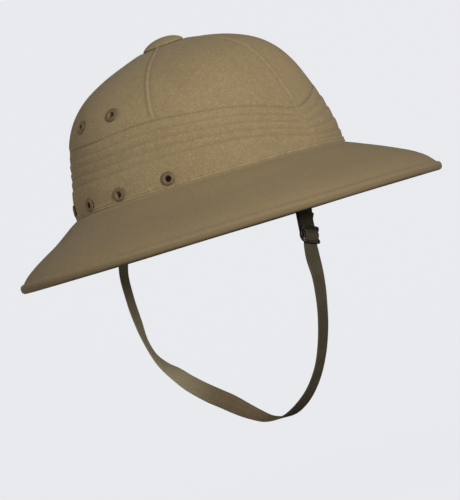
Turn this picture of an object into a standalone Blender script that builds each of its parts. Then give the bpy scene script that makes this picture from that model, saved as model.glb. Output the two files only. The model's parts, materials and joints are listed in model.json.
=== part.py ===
"""A pressed-fibre pith helmet with moulded folds, ventilation eyelets and a webbing chin strap.

Lengths are in metres. +X is the wearer's front, +Y the wearer's left and +Z is up. The origin is
the centre of the head opening, level with the crown's foot, where a head holds the helmet.
"""

import math

import bmesh
import bpy
import numpy as np
from mathutils import Matrix

# Brim
BRIM_LENGTH = 0.340
BRIM_WIDTH = 0.284
BRIM_FORWARD = 0.010  # from the crown's centre to the brim's
BRIM_DROP = 0.0388  # from the crown's foot to the rim's lower edge
RIM_DEPTH = 0.0065  # height of the edge that is turned down round the brim
RIM_ROUND = 0.0028  # radius of the turned edge's corners

# Crown
CROWN_LENGTH = 0.212
CROWN_WIDTH = 0.183
CROWN_HEIGHT = 0.102
CROWN_FRONT_RISE = 0.0125  # how much fuller the crown stands in front than behind
CROWN_BACK_LEAN = 0.0085  # how far the crown's top lies behind its foot's centre
WALL = 0.003

# Moulded relief
FOLD_COUNT = 5
FOLD_DEPTH = 0.0005
FOLD_LEDGE = 0.0010  # height over which a fold steps out
RIB_WIDTH = 0.0036
RIB_HEIGHT = 0.0008
RIB_START = 8.0  # a rib is full height within this fraction of its run
BEAD_WIDTH = 0.0032
BEAD_HEIGHT = 0.0007

# Button on the crown
BUTTON_RADIUS = 0.0150
BUTTON_HEIGHT = 0.0052

# Eyelets
EYELET_RADIUS = 0.0048
EYELET_BORE = 0.0021
EYELET_WALL = 0.0007
EYELET_FLANGE = 0.0009
EYELET_CLINCH = 0.0005

# Chin strap and its fittings
STRAP_WIDTH = 0.0127
STRAP_THICKNESS = 0.0010
STRAP_DROP = 0.1723  # from the crown's foot to the loop's lowest point
STRAP_AHEAD = 0.002  # how far the anchors lie in front of the crown's centre
SLIDE_TRAIL = 0.018  # how far the slide hangs behind its anchor
STRAP_SWING = 0.024  # how far the bottom of the loop hangs behind the anchors
WIRE_RADIUS = 0.0008
BAR_SHARE = 0.98  # thickness of the slide's middle bar against its frame's
SLIDE_DROP = 0.0558  # from the crown's foot to the slide's middle bar
SLIDE_INSET = 0.0015  # how far the slide hangs inside the back of its anchor
SLIDE_HALF_HEIGHT = 0.0050
SLIDE_BOW = 0.0024
SLIDE_CORNER = 0.0018
TAIL_LENGTH = 0.018
TAIL_SKEW = 0.0022  # how far the tail's cut end sticks out sideways
ANCHOR_RISE = 0.006  # height of each anchor loop above the crown's foot
ANCHOR_BAR = 0.0015
ANCHOR_PLATE = 0.0010
ANCHOR_HEIGHT = 0.0016

# Clearances
GAP = 0.0003
EYELET_GAP = 0.0004
ANCHOR_GAP = 0.0006
STRAP_SIDE_GAP = 0.0006

# Mesh density
STATIONS = 60
CLEAR_OF_RIB = 0.6  # share of a column's spacing that the columns keep from a rib's middle
SLIP_LIMIT = 0.06  # most that a rib's edge is turned away from its middle, in radians
TOP_ROWS = 8
INNER_DEPTHS = (1.0, 0.92, 0.82, 0.72, 0.67, 0.62, 0.57, 0.50, 0.38, 0.26, 0.13)
EYELET_SIDES = 16
BUTTON_SIDES = 28
WIRE_SIDES = 8
CORNER_STEPS = 4
TURN_STEPS = 7  # points of the webbing's line round an anchor or the slide's middle bar
STRAP_STEP = 0.007
SAMPLES = 400  # points at which a curve is read to find a place on it
LEAN_ROUNDS = 8  # steps in which a place on the leaning crown is found
SHARP_DEGREES = 35.0

# Crown section: share of the height, share of the plan's half size, share of the back lean
CROWN_SECTION = [
    (1.00, 0.000, 1.00),
    (0.99, 0.150, 0.98),
    (0.955, 0.333, 0.66),
    (0.90, 0.501, 0.65),
    (0.82, 0.656, 0.66),
    (0.72, 0.768, 0.62),
    (0.60, 0.847, 0.53),
    (0.45, 0.905, 0.35),
    (0.28, 0.953, 0.10),
    (0.12, 0.990, 0.04),
    (0.00, 1.000, 0.00),
]

# Brim section: share of the way out, share of the drop in front, share of the drop behind
BRIM_SECTION = [
    (0.00, 0.000, 0.000),
    (0.04, 0.032, 0.038),
    (0.10, 0.075, 0.090),
    (0.20, 0.146, 0.195),
    (0.40, 0.290, 0.405),
    (0.60, 0.460, 0.572),
    (0.80, 0.655, 0.752),
    (0.92, 0.827, 0.882),
    (1.00, 1.000, 1.000),
]

# Button section: share of its radius, share of its height; the last rows lie on its underside
BUTTON_SECTION = [
    (0.30, 0.95),
    (0.55, 0.82),
    (0.76, 0.62),
    (0.91, 0.39),
    (1.00, 0.15),
    (1.00, 0.00),
    (0.68, 0.00),
    (0.34, 0.00),
]

# Folds: degrees round from the front, top and bottom fold's height as shares of the crown's
FOLD_LINES = [
    (0.0, 0.455, 0.126),
    (25.0, 0.441, 0.116),
    (45.0, 0.412, 0.089),
    (60.0, 0.366, 0.069),
    (72.0, 0.309, 0.065),
    (84.0, 0.270, 0.075),
    (100.0, 0.334, 0.127),
    (112.0, 0.387, 0.168),
    (130.0, 0.437, 0.201),
    (150.0, 0.480, 0.218),
    (180.0, 0.477, 0.212),
]

RIB_TURNS = [0.0, 83.5, 147.5, -147.5, -83.5]

# Eyelets: name, degrees round from the front, height above the foot
LOW_EYELET_HEIGHT = BEAD_WIDTH / 2 + GAP + EYELET_RADIUS
HIGH_EYELET_HEIGHT = 0.632 * CROWN_HEIGHT
EYELETS = [
    ("eyelet_low_1", -147.9, LOW_EYELET_HEIGHT),
    ("eyelet_low_2", -170.3, LOW_EYELET_HEIGHT),
    ("eyelet_low_3", 170.3, LOW_EYELET_HEIGHT),
    ("eyelet_low_4", 147.9, LOW_EYELET_HEIGHT),
    ("eyelet_high_1", -167.8, HIGH_EYELET_HEIGHT),
    ("eyelet_high_2", 167.8, HIGH_EYELET_HEIGHT),
]

# Hanging strap: share of the crown's half width to the left, share of its swing to the back,
# share of the way down from the slide's lower end, roll in degrees
STRAP_LOOP = [
    (-0.945, 0.87, 0.058, 4),
    (-0.950, 0.94, 0.212, -3),
    (-0.918, 0.99, 0.381, -8),
    (-0.854, 1.00, 0.536, -8),
    (-0.729, 1.00, 0.722, -7),
    (-0.573, 1.00, 0.861, 1),
    (-0.419, 1.00, 0.946, 9),
    (-0.299, 1.00, 0.987, 9),
    (-0.180, 1.00, 1.000, 5),
    (-0.055, 1.00, 0.989, -2),
    (0.040, 1.00, 0.957, -11),
    (0.159, 1.00, 0.907, -27),
    (0.299, 1.00, 0.841, -47),
    (0.478, 1.00, 0.765, -52),
    (0.668, 1.00, 0.668, -31),
    (0.807, 1.00, 0.575, -10),
    (0.907, 1.00, 0.506, 12),
    (0.981, 1.00, 0.428, 29),
    (1.025, 0.99, 0.343, 32),
    (1.055, 0.97, 0.196, 22),
    (1.086, 0.90, 0.026, 20),
    (1.104, 0.76, -0.159, 17),
    (1.050, 0.48, -0.345, 13),
]

KHAKI = (0.205, 0.158, 0.090)
OLIVE = (0.075, 0.056, 0.030)
DARK_METAL = (0.030, 0.027, 0.022)
STEEL = (0.30, 0.29, 0.27)

# Materials: colour, roughness, metallic
MATERIALS = {
    "khaki_cloth": (KHAKI, 0.85, 0.0),
    "button_cloth": (KHAKI, 0.85, 0.0),
    "webbing": (OLIVE, 0.90, 0.0),
    "eyelet_metal": (DARK_METAL, 0.45, 0.8),
    "slide_metal": (DARK_METAL, 0.40, 0.8),
    "anchor_metal": (STEEL, 0.40, 1.0),
}

X_AXIS = np.array([1.0, 0.0, 0.0])
Z_AXIS = np.array([0.0, 0.0, 1.0])


def smooth(places, values, at):
    """Reads a curve through a table: cubic pieces whose slopes are the table's own."""
    places, values = np.asarray(places, float), np.asarray(values, float)
    slopes = np.gradient(values, places)
    at = np.clip(at, places[0], places[-1])
    left = np.clip(np.searchsorted(places, at, side="right") - 1, 0, len(places) - 2)
    span = places[left + 1] - places[left]
    share = (at - places[left]) / span
    start = (1 + 2 * share) * (1 - share) ** 2 * values[left]
    end = share**2 * (3 - 2 * share) * values[left + 1]
    leaving = share * (1 - share) ** 2 * span * slopes[left]
    arriving = share**2 * (share - 1) * span * slopes[left + 1]
    return start + end + leaving + arriving


def unit(vectors):
    """Scales vectors along the last axis to length one."""
    return vectors / np.linalg.norm(vectors, axis=-1, keepdims=True)


# The crown's section is read against the root of its depth, which stays even over the flat top.
SECTION = np.array(CROWN_SECTION)
SECTION_DEPTH = np.sqrt(1 - SECTION[:, 0])


def crown(turn, height):
    """Points of the smooth crown, at a turn from the front and a share of its height."""
    depth = np.sqrt(np.clip(1 - height, 0, 1))
    size = smooth(SECTION_DEPTH, SECTION[:, 1], depth)
    lean = CROWN_BACK_LEAN * smooth(SECTION_DEPTH, SECTION[:, 2], depth)
    x = CROWN_LENGTH / 2 * size * np.cos(turn) - lean
    y = CROWN_WIDTH / 2 * size * np.sin(turn)
    z = CROWN_HEIGHT * height + CROWN_FRONT_RISE * size * np.cos(turn) * height
    return np.stack(np.broadcast_arrays(x, y, z), -1)


def crown_normal(turn, height):
    """Outward normals of the smooth crown."""
    step = 0.002
    height = np.clip(height, step, 1 - 2 * step)
    round_it = crown(turn + step, height) - crown(turn - step, height)
    up_it = crown(turn, height + step) - crown(turn, height - step)
    return unit(np.cross(round_it, up_it))


def brim(turn, out):
    """Points of the brim's upper face, from the crown's foot to the rim's upper corner."""
    foot = crown(turn, np.zeros_like(turn))
    front = (1 + np.cos(turn)) / 2
    places, ahead, behind = np.array(BRIM_SECTION).T
    drop = front * smooth(places, ahead, out) + (1 - front) * smooth(places, behind, out)
    x = BRIM_FORWARD + (BRIM_LENGTH / 2 - RIM_ROUND) * np.cos(turn)
    y = (BRIM_WIDTH / 2 - RIM_ROUND) * np.sin(turn)
    edge = np.stack([x, y, np.zeros_like(turn)], -1)
    points = foot + (edge - foot) * np.asarray(out)[..., None]
    points[..., 2] = -(BRIM_DROP - RIM_DEPTH) * drop
    return points


def brim_normal(turn, out):
    """Upward normals of the brim."""
    step = 0.01
    low, high = np.clip(out - step, 0, 1), np.clip(out + step, 0, 1)
    outward = brim(turn, high) - brim(turn, low)
    round_it = brim(turn + step, out) - brim(turn - step, out)
    return unit(np.cross(outward, round_it))


def rim(turn, inset, depth):
    """Points of the turned-down edge, inset from the plan's outline and below its corner."""
    x = BRIM_FORWARD + (BRIM_LENGTH / 2 - inset) * np.cos(turn)
    y = (BRIM_WIDTH / 2 - inset) * np.sin(turn)
    z = np.full_like(turn, -(BRIM_DROP - RIM_DEPTH) - depth)
    return np.stack([x, y, z], -1)


def fold_line(turn, number):
    """Height share of one of the folds, counted down from the top one."""
    turns, top, bottom = np.array(FOLD_LINES).T
    degrees = np.degrees(np.abs((turn + math.pi) % (2 * math.pi) - math.pi))
    share = number / (FOLD_COUNT - 1)
    return (1 - share) * smooth(turns, top, degrees) + share * smooth(turns, bottom, degrees)


def plan_radius(height):
    """Mean plan radius of the crown at a share of its height."""
    size = smooth(SECTION_DEPTH, SECTION[:, 1], np.sqrt(np.clip(1 - height, 0, 1)))
    return size * math.sqrt(CROWN_LENGTH * CROWN_WIDTH) / 2


def stations():
    """Turns of the mesh's columns, and each one's side step from a rib's centre line."""
    spacing = 2 * math.pi / STATIONS
    ribs = [math.radians(turn) % (2 * math.pi) for turn in RIB_TURNS]
    found = []
    for number in range(STATIONS):
        turn = number * spacing
        apart = [abs((turn - rib + math.pi) % (2 * math.pi) - math.pi) for rib in ribs]
        if min(apart) > CLEAR_OF_RIB * spacing:
            found.append((turn, 0.0, 0.0))
    for rib in ribs:
        found.append((rib, -RIB_WIDTH / 2, 0.0))
        found.append((rib, 0.0, 1.0))
        found.append((rib, RIB_WIDTH / 2, 0.0))
    found.sort(key=lambda station: station[0] + station[1] / CROWN_LENGTH)
    return np.array(found).T


def relief_row(columns, height, relief):
    """A crown row at a height share for each column, pushed out by the relief."""
    turn, side, ridge = columns
    slip = np.clip(side / plan_radius(height), -SLIP_LIMIT, SLIP_LIMIT)
    points = crown(turn + slip, height)
    return points + crown_normal(turn + slip, height) * relief[..., None]


def button_depth():
    """Root of the depth at which the crown comes out from under the button on all sides."""
    depth = np.linspace(0, 1, SAMPLES)
    size = smooth(SECTION_DEPTH, SECTION[:, 1], depth)
    return float(np.interp(2 * (BUTTON_RADIUS + GAP) / CROWN_WIDTH, size, depth))


def rib_relief(columns, share):
    """Height of the ribs over the crown, which rise from nothing at the button's edge."""
    return RIB_HEIGHT * columns[2] * min(1.0, share * RIB_START)


def outer_crown_rows(columns):
    """Rows of the crown's outer face below the pole: plain top, folds, band and foot bead."""
    turn = columns[0]
    under_button = np.full_like(turn, button_depth())
    last = np.sqrt(1 - fold_line(turn, 0) - FOLD_LEDGE / 2 / CROWN_HEIGHT)
    rows = [relief_row(columns, 1 - (under_button / 2) ** 2, np.zeros_like(turn))]
    for number in range(TOP_ROWS):
        share = number / (TOP_ROWS - 1)
        height = 1 - ((1 - share) * under_button + share * last) ** 2
        rows.append(relief_row(columns, height, rib_relief(columns, share)))
    for number in range(FOLD_COUNT):
        line = fold_line(turn, number)
        ledge = FOLD_LEDGE / 2 / CROWN_HEIGHT
        if number > 0:
            rows.append(relief_row(columns, line + ledge, np.zeros_like(turn)))
        rows.append(relief_row(columns, line - ledge, np.full_like(turn, FOLD_DEPTH)))
    bottom = fold_line(turn, FOLD_COUNT - 1)
    bead = BEAD_WIDTH / 2 / CROWN_HEIGHT
    rows.append(relief_row(columns, (bottom + bead) / 2, np.full_like(turn, FOLD_DEPTH / 2)))
    rows.append(relief_row(columns, np.full_like(turn, bead), np.zeros_like(turn)))
    rows.append(relief_row(columns, np.full_like(turn, bead / 2), np.full_like(turn, BEAD_HEIGHT)))
    return rows


def shell_rows(columns):
    """All rows of the shell, out over the outer face, round the rim and back up inside."""
    turn = columns[0] + columns[1] / plan_radius(np.zeros_like(columns[0]))
    rows = outer_crown_rows(columns)
    outs = [row[0] for row in BRIM_SECTION]
    bead_low = crown(turn, np.zeros_like(turn))
    bead_low += unit(crown_normal(turn, np.zeros_like(turn))) * BEAD_HEIGHT
    bead_low[:, 2] -= BEAD_WIDTH / 4
    rows.append(bead_low)
    for out in outs[1:]:
        rows.append(brim(turn, np.full_like(turn, out)))
    corner = RIM_ROUND * (1 - math.sqrt(0.5))
    rows.append(rim(turn, corner, corner))
    rows.append(rim(turn, 0.0, RIM_ROUND))
    rows.append(rim(turn, 0.0, RIM_DEPTH - RIM_ROUND))
    rows.append(rim(turn, corner, RIM_DEPTH - corner))
    rows.append(rim(turn, RIM_ROUND, RIM_DEPTH))
    rows.append(rim(turn, WALL, RIM_DEPTH))
    for out in outs[-2:0:-1]:
        share = np.full_like(turn, out)
        rows.append(brim(turn, share) - brim_normal(turn, share) * WALL)
    for depth in INNER_DEPTHS:
        rows.append(inner_wall(turn, np.full_like(turn, 1 - depth**2)))
    return rows


def inner_wall(turn, height):
    """Points of the crown's inner face."""
    return crown(turn, height) - crown_normal(turn, height) * WALL


def new_object(name, vertices, faces, material):
    """A mesh object whose faces are turned outwards and shaded smooth over gentle angles."""
    mesh = bpy.data.meshes.new(name)
    mesh.from_pydata([tuple(map(float, vertex)) for vertex in vertices], [], faces)
    work = bmesh.new()
    work.from_mesh(mesh)
    bmesh.ops.recalc_face_normals(work, faces=work.faces)
    work.to_mesh(mesh)
    work.free()
    mesh.shade_smooth()
    mesh.set_sharp_from_angle(angle=math.radians(SHARP_DEGREES))
    mesh.materials.append(material)
    made = bpy.data.objects.new(name, mesh)
    bpy.context.scene.collection.objects.link(made)
    return made


def new_material(name):
    """The Principled material of that name in the table."""
    colour, roughness, metallic = MATERIALS[name]
    material = bpy.data.materials.new(name)
    material.use_nodes = True
    shader = material.node_tree.nodes["Principled BSDF"]
    shader.inputs["Base Color"].default_value = (*colour, 1.0)
    shader.inputs["Roughness"].default_value = roughness
    shader.inputs["Metallic"].default_value = metallic
    return material


def ring_faces(rows, sides, first=0, closed_rows=False):
    """Quads between neighbouring rows of a tube or shell."""
    faces = []
    for row in range(rows if closed_rows else rows - 1):
        for side in range(sides):
            here, there = first + row * sides, first + (row + 1) % rows * sides
            step = (side + 1) % sides
            faces.append((here + side, there + side, there + step, here + step))
    return faces


def capped_rows(rows, top, bottom):
    """A closed skin of rows between two poles."""
    sides, count = len(rows[0]), len(rows)
    vertices = [top, *np.concatenate(rows), bottom]
    faces = ring_faces(count, sides, first=1)
    last = 1 + (count - 1) * sides
    for side in range(sides):
        step = (side + 1) % sides
        faces.append((0, 1 + side, 1 + step))
        faces.append((last + step, last + side, len(vertices) - 1))
    return vertices, faces


def build_shell(material):
    """Crown and brim, pressed as one hollow piece of even wall."""
    columns = stations()
    pole = crown(np.zeros(1), np.ones(1))[0]
    vertices, faces = capped_rows(shell_rows(columns), pole, pole - WALL * Z_AXIS)
    return new_object("shell", vertices, faces, material)


def crown_top(x, y):
    """Height of the smooth crown's top over a place in its plan."""
    samples = np.linspace(0, 1, SAMPLES)
    size = smooth(SECTION_DEPTH, SECTION[:, 1], samples)
    depth = np.zeros_like(x)
    for _ in range(LEAN_ROUNDS):
        lean = CROWN_BACK_LEAN * smooth(SECTION_DEPTH, SECTION[:, 2], depth)
        ahead, aside = (x + lean) / (CROWN_LENGTH / 2), y / (CROWN_WIDTH / 2)
        depth = np.interp(np.hypot(ahead, aside), size, samples)
    height = 1 - depth**2
    return CROWN_HEIGHT * height + CROWN_FRONT_RISE * ahead * height


def build_button(material):
    """The low domed button that covers the middle of the crown."""
    turn = np.linspace(0, 2 * math.pi, BUTTON_SIDES, endpoint=False)

    def row(out, rise):
        x = -CROWN_BACK_LEAN + BUTTON_RADIUS * out * np.cos(turn)
        y = BUTTON_RADIUS * out * np.sin(turn)
        return np.stack([x, y, crown_top(x, y) + GAP + BUTTON_HEIGHT * rise], -1)

    rows = [row(out, rise) for out, rise in BUTTON_SECTION]
    middle = np.array([-CROWN_BACK_LEAN, 0.0, CROWN_HEIGHT + GAP])
    vertices, faces = capped_rows(rows, middle + BUTTON_HEIGHT * Z_AXIS, middle)
    return new_object("crown_button", vertices, faces, material)


def outer_relief(turn, height):
    """How far the band below the lowest fold stands out of the smooth crown, and zero above it."""
    bottom = fold_line(turn, FOLD_COUNT - 1)
    return FOLD_DEPTH * np.where(height < bottom, height / bottom, 0.0)


def eyelet_seat(turn, rise):
    """Place and normal of an eyelet, and how far its flanges lie from the smooth crown."""
    height = rise / CROWN_HEIGHT
    place = crown(np.array(turn), np.array(height))
    normal = crown_normal(np.array(turn), np.array(height))
    round_it = np.linspace(0, 2 * math.pi, SAMPLES, endpoint=False)
    side = EYELET_RADIUS * np.cos(round_it) / plan_radius(height)
    lift = EYELET_RADIUS * np.sin(round_it) / CROWN_HEIGHT
    turns, heights = turn + side, height + lift
    relief = outer_relief(turns, heights)[:, None]
    skin = crown(turns, heights) + crown_normal(turns, heights) * relief
    inside = inner_wall(turns, heights)
    centre = outer_relief(np.array([turn]), np.array([height]))[0]
    outer = max(centre, float(((skin - place) @ normal).max())) + EYELET_GAP
    inner = min(-WALL, float(((inside - place) @ normal).min())) - EYELET_GAP
    return place, normal, outer, inner


def frame_matrix(place, across, along, normal):
    """A matrix with the given axes and place."""
    matrix = Matrix.Identity(4)
    for column, axis in enumerate((across, along, normal, place)):
        for row in range(3):
            matrix[row][column] = float(axis[row])
    return matrix


def lathe(section):
    """Vertices and faces of a closed section turned round the local Z axis."""
    turn = np.linspace(0, 2 * math.pi, EYELET_SIDES, endpoint=False)
    circle = np.stack([np.cos(turn), np.sin(turn), np.zeros_like(turn)], -1)
    rows = [circle * radius + Z_AXIS * level for radius, level in section]
    return np.concatenate(rows), ring_faces(len(section), EYELET_SIDES, closed_rows=True)


def build_eyelet(name, degrees, rise, material, shell):
    """A two-part ventilation eyelet: flange, barrel through the wall and clinched inner ring."""
    place, normal, outer, inner = eyelet_seat(math.radians(degrees), rise)
    barrel = EYELET_BORE + EYELET_WALL
    clinch = EYELET_RADIUS - EYELET_WALL
    section = [
        (EYELET_BORE + EYELET_WALL, outer + EYELET_FLANGE),
        (EYELET_RADIUS - EYELET_WALL, outer + EYELET_FLANGE),
        (EYELET_RADIUS, outer + EYELET_FLANGE / 2),
        (EYELET_RADIUS, outer),
        (barrel, outer),
        (barrel, inner),
        (clinch, inner),
        (clinch, inner - EYELET_CLINCH),
        (EYELET_BORE, inner - EYELET_CLINCH),
        (EYELET_BORE, outer + EYELET_FLANGE / 2),
    ]
    across = unit(np.cross(Z_AXIS, normal))
    matrix = frame_matrix(place, across, np.cross(normal, across), normal)
    made = new_object(name, *lathe(section), material)
    made.matrix_world = matrix
    cut_hole(shell, name, matrix, barrel + EYELET_GAP)
    return made


def cut_hole(shell, name, matrix, radius):
    """Cuts an eyelet's hole through the shell's wall."""
    turn = np.linspace(0, 2 * math.pi, EYELET_SIDES, endpoint=False)
    reach = 2 * EYELET_RADIUS
    circle = radius * np.stack([np.cos(turn), np.sin(turn), np.zeros_like(turn)], -1)
    rows = [circle + reach * Z_AXIS, circle - reach * Z_AXIS]
    vertices, faces = capped_rows(rows, reach * Z_AXIS, -reach * Z_AXIS)
    cutter = new_object("cut_" + name, vertices, faces, shell.data.materials[0])
    cutter.matrix_world = matrix
    cutter.hide_render = True
    cutter.display_type = "WIRE"
    cut = shell.modifiers.new("hole_" + name, "BOOLEAN")
    cut.operation = "DIFFERENCE"
    cut.solver = "EXACT"
    cut.object = cutter


class Side:
    """The place on the inner wall where one end of the strap hangs, and its directions."""

    def __init__(self, sign):
        half_length = CROWN_LENGTH / 2
        turn = sign * (math.pi / 2 - math.asin(STRAP_AHEAD / half_length))
        height = ANCHOR_RISE / CROWN_HEIGHT
        normal = crown_normal(np.array(turn), np.array(height))
        self.inward = -unit(normal * (1.0 - Z_AXIS))
        self.across = unit(X_AXIS - self.inward * self.inward[0])
        wall = inner_wall(np.array(turn), np.array(height))
        reach = np.array([-1, 0, 1]) * (self.half_width() + ANCHOR_BAR) / half_length
        top = np.full_like(reach, height + ANCHOR_HEIGHT / CROWN_HEIGHT)
        seat = ((inner_wall(turn + reach, top) - wall) @ self.inward).max()
        self.place = (wall + self.inward * (seat + ANCHOR_GAP)) * (1.0 - Z_AXIS)
        swing = math.atan2(SLIDE_TRAIL, SLIDE_DROP + ANCHOR_RISE)
        self.hang = Z_AXIS * math.cos(swing) + self.across * math.sin(swing)
        self.wide = self.across * math.cos(swing) - Z_AXIS * math.sin(swing)

    @staticmethod
    def half_width():
        """Half the inside width of a loop that the strap runs through."""
        return STRAP_WIDTH / 2 + STRAP_SIDE_GAP

    def at(self, inward, up, across=0.0):
        """A point at a distance in from the anchor's back and a height above the foot."""
        return self.place + self.inward * inward + Z_AXIS * up + self.across * across


# Distances of the strap's middle from what it wraps
TURN_RADIUS = math.hypot(ANCHOR_BAR, ANCHOR_HEIGHT) / 2 + GAP + STRAP_THICKNESS / 2
BAR_INWARD = ANCHOR_PLATE + 2 * GAP + STRAP_THICKNESS / 2 + TURN_RADIUS
WRAP_RADIUS = WIRE_RADIUS + GAP + STRAP_THICKNESS / 2
LAYER = STRAP_THICKNESS + 2 * GAP


def build_anchor(name, side, material):
    """A flat rectangular loop on the crown's inner wall, which an end of the strap wraps."""
    half = side.half_width()
    outer = half + ANCHOR_BAR
    depth = BAR_INWARD + ANCHOR_BAR / 2
    frame = [(-outer, 0.0), (outer, 0.0), (outer, depth), (-outer, depth)]
    window = [(-half, ANCHOR_PLATE), (half, ANCHOR_PLATE)]
    window += [(half, depth - ANCHOR_BAR), (-half, depth - ANCHOR_BAR)]
    rows = []
    for outline, up in ((frame, 0.5), (frame, -0.5), (window, -0.5), (window, 0.5)):
        level = ANCHOR_RISE + up * ANCHOR_HEIGHT
        rows.append(np.array([side.at(inward, level, across) for across, inward in outline]))
    faces = ring_faces(4, 4, closed_rows=True)
    return new_object(name, np.concatenate(rows), faces, material)


def slide_point(side, across, out, up):
    """A point in the slide's own directions: across the strap, outwards and up along it."""
    middle = side.at(SLIDE_INSET - out, -SLIDE_DROP, -SLIDE_TRAIL)
    return middle + side.hang * up + side.wide * across


def slide_outline(side):
    """Middle line of the slide's wire: a rounded rectangle whose two ends bow outwards."""
    half_width = side.half_width() + WIRE_RADIUS
    points = []
    for corner, (right, high) in enumerate(((1, 1), (-1, 1), (-1, -1), (1, -1))):
        centre = (right * (half_width - SLIDE_CORNER), high * (SLIDE_HALF_HEIGHT - SLIDE_CORNER))
        for step in range(CORNER_STEPS):
            angle = math.pi / 2 * (corner + step / (CORNER_STEPS - 1))
            across = centre[0] + SLIDE_CORNER * math.cos(angle)
            up = centre[1] + SLIDE_CORNER * math.sin(angle)
            points.append((across, up))
        if corner % 2 == 1:
            points.append((right * half_width, 0.0))
    bow = SLIDE_BOW / SLIDE_HALF_HEIGHT**2
    return np.array([slide_point(side, across, bow * up**2, up) for across, up in points])


def tube(path, radius, flat, closed):
    """Vertices and faces of a round wire along a path that lies across a flat direction."""
    if closed:
        tangents = unit(np.roll(path, -1, 0) - np.roll(path, 1, 0))
    else:
        tangents = unit(np.gradient(path, axis=0))
    sideways = unit(np.cross(tangents, flat))
    upright = np.cross(sideways, tangents)
    angles = np.linspace(0, 2 * math.pi, WIRE_SIDES, endpoint=False) + math.pi / WIRE_SIDES
    ring = np.cos(angles)[:, None, None] * sideways + np.sin(angles)[:, None, None] * upright
    rows = [path[place] + radius * ring[:, place] for place in range(len(path))]
    if closed:
        return np.concatenate(rows), ring_faces(len(path), WIRE_SIDES, closed_rows=True)
    return capped_rows(rows, path[0], path[-1])


def build_slide(side, material):
    """The wire slide that the strap is doubled through: a bowed frame with a middle bar."""
    frame = new_object("slide", *tube(slide_outline(side), WIRE_RADIUS, side.inward, True), material)
    reach = side.half_width() + WIRE_RADIUS
    ends = np.array([slide_point(side, share * reach, 0.0, 0.0) for share in (-1, 0, 1)])
    bar = new_object("slide_bar", *tube(ends, WIRE_RADIUS * BAR_SHARE, Z_AXIS, False), material)
    bar.hide_render = True
    bar.display_type = "WIRE"
    join = frame.modifiers.new("middle_bar", "BOOLEAN")
    join.operation = "UNION"
    join.solver = "EXACT"
    join.object = bar
    return frame


def arc(centre, start, end, radius):
    """Places (inward, up) along an arc, from one angle in degrees to another."""
    angles = np.radians(np.linspace(start, end, TURN_STEPS))
    return [(centre[0] + radius * math.cos(a), centre[1] + radius * math.sin(a)) for a in angles]


def strap_route(right, left):
    """Middle line of the webbing and its width directions, from the tail to the left end."""
    over = WRAP_RADIUS + LAYER
    rise = math.asin((over + WRAP_RADIUS) / math.hypot(SLIDE_HALF_HEIGHT, SLIDE_BOW))
    slope = rise - math.atan2(SLIDE_BOW, SLIDE_HALF_HEIGHT)

    def inside_end(layer, end, angle=0.0):
        """Out and up of a layer of webbing inside one of the slide's end bars."""
        radius = WRAP_RADIUS + layer * LAYER
        up = SLIDE_HALF_HEIGHT - radius * math.sin(angle)
        return SLIDE_BOW - radius * math.cos(angle), end * up

    tail = SLIDE_BOW - over
    route = [(tail, TAIL_LENGTH), (tail, (TAIL_LENGTH + SLIDE_HALF_HEIGHT) / 2)]
    route += [inside_end(1, 1), inside_end(1, 1, slope)]
    route += arc((0.0, 0.0), math.degrees(slope), -180, WRAP_RADIUS)
    route += [inside_end(2, 1)]
    points = [slide_point(right, 0.0, *place) for place in route]
    points[0] = points[0] + right.wide * TAIL_SKEW
    widths = [right.wide] * len(points)
    bar = (BAR_INWARD, ANCHOR_RISE)
    points += [right.at(inward, up) for inward, up in arc(bar, 0, 180, TURN_RADIUS)]
    widths += [right.across] * TURN_STEPS
    route = [inside_end(0, 1), inside_end(0, 1, slope)]
    route += [(over * math.cos(slope), over * math.sin(slope)), (over, 0.0)]
    route += [(over * math.cos(slope), -over * math.sin(slope))]
    route += [inside_end(0, -1, slope), inside_end(0, -1)]
    points += [slide_point(right, 0.0, *place) for place in route]
    widths += [right.wide] * len(route)
    loop, rolls = [], []
    start = SLIDE_DROP + SLIDE_HALF_HEIGHT
    for aside, back, low, roll in STRAP_LOOP:
        depth = start + low * (STRAP_DROP - start)
        loop.append((STRAP_AHEAD - back * STRAP_SWING, aside * CROWN_WIDTH / 2, -depth))
        rolls.append(math.radians(roll))
    tangents = unit(np.gradient(np.array(loop), axis=0))
    for tangent, roll in zip(tangents, rolls):
        flat = unit(X_AXIS - tangent * tangent[0])
        widths.append(flat * math.cos(roll) + np.cross(tangent, flat) * math.sin(roll))
    points += [np.array(place) for place in loop]
    ending = arc(bar, 180, 0, TURN_RADIUS)
    ending = [(ending[0][0], 0.0)] + ending
    points += [left.at(inward, up) for inward, up in ending]
    points += [left.at(ending[-1][0], ANCHOR_RISE - TAIL_LENGTH, -TAIL_SKEW)]
    widths += [left.across] * (len(ending) + 1)
    return np.array(points), np.array(widths)


def resample(points, widths, step):
    """Reads a smooth curve through the route's points, closely enough for its bends."""
    lengths = np.linalg.norm(np.diff(points, axis=0), axis=1)
    places = np.concatenate([[0.0], np.cumsum(lengths)])
    wanted = [0.0]
    for start, length in zip(places[:-1], lengths):
        count = max(1, round(length / step))
        wanted += [start + length * part / count for part in range(1, count + 1)]
    wanted = np.array(wanted)
    line = np.stack([smooth(places, points[:, axis], wanted) for axis in range(3)], -1)
    width = np.stack([np.interp(wanted, places, widths[:, axis]) for axis in range(3)], -1)
    return line, width


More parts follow.
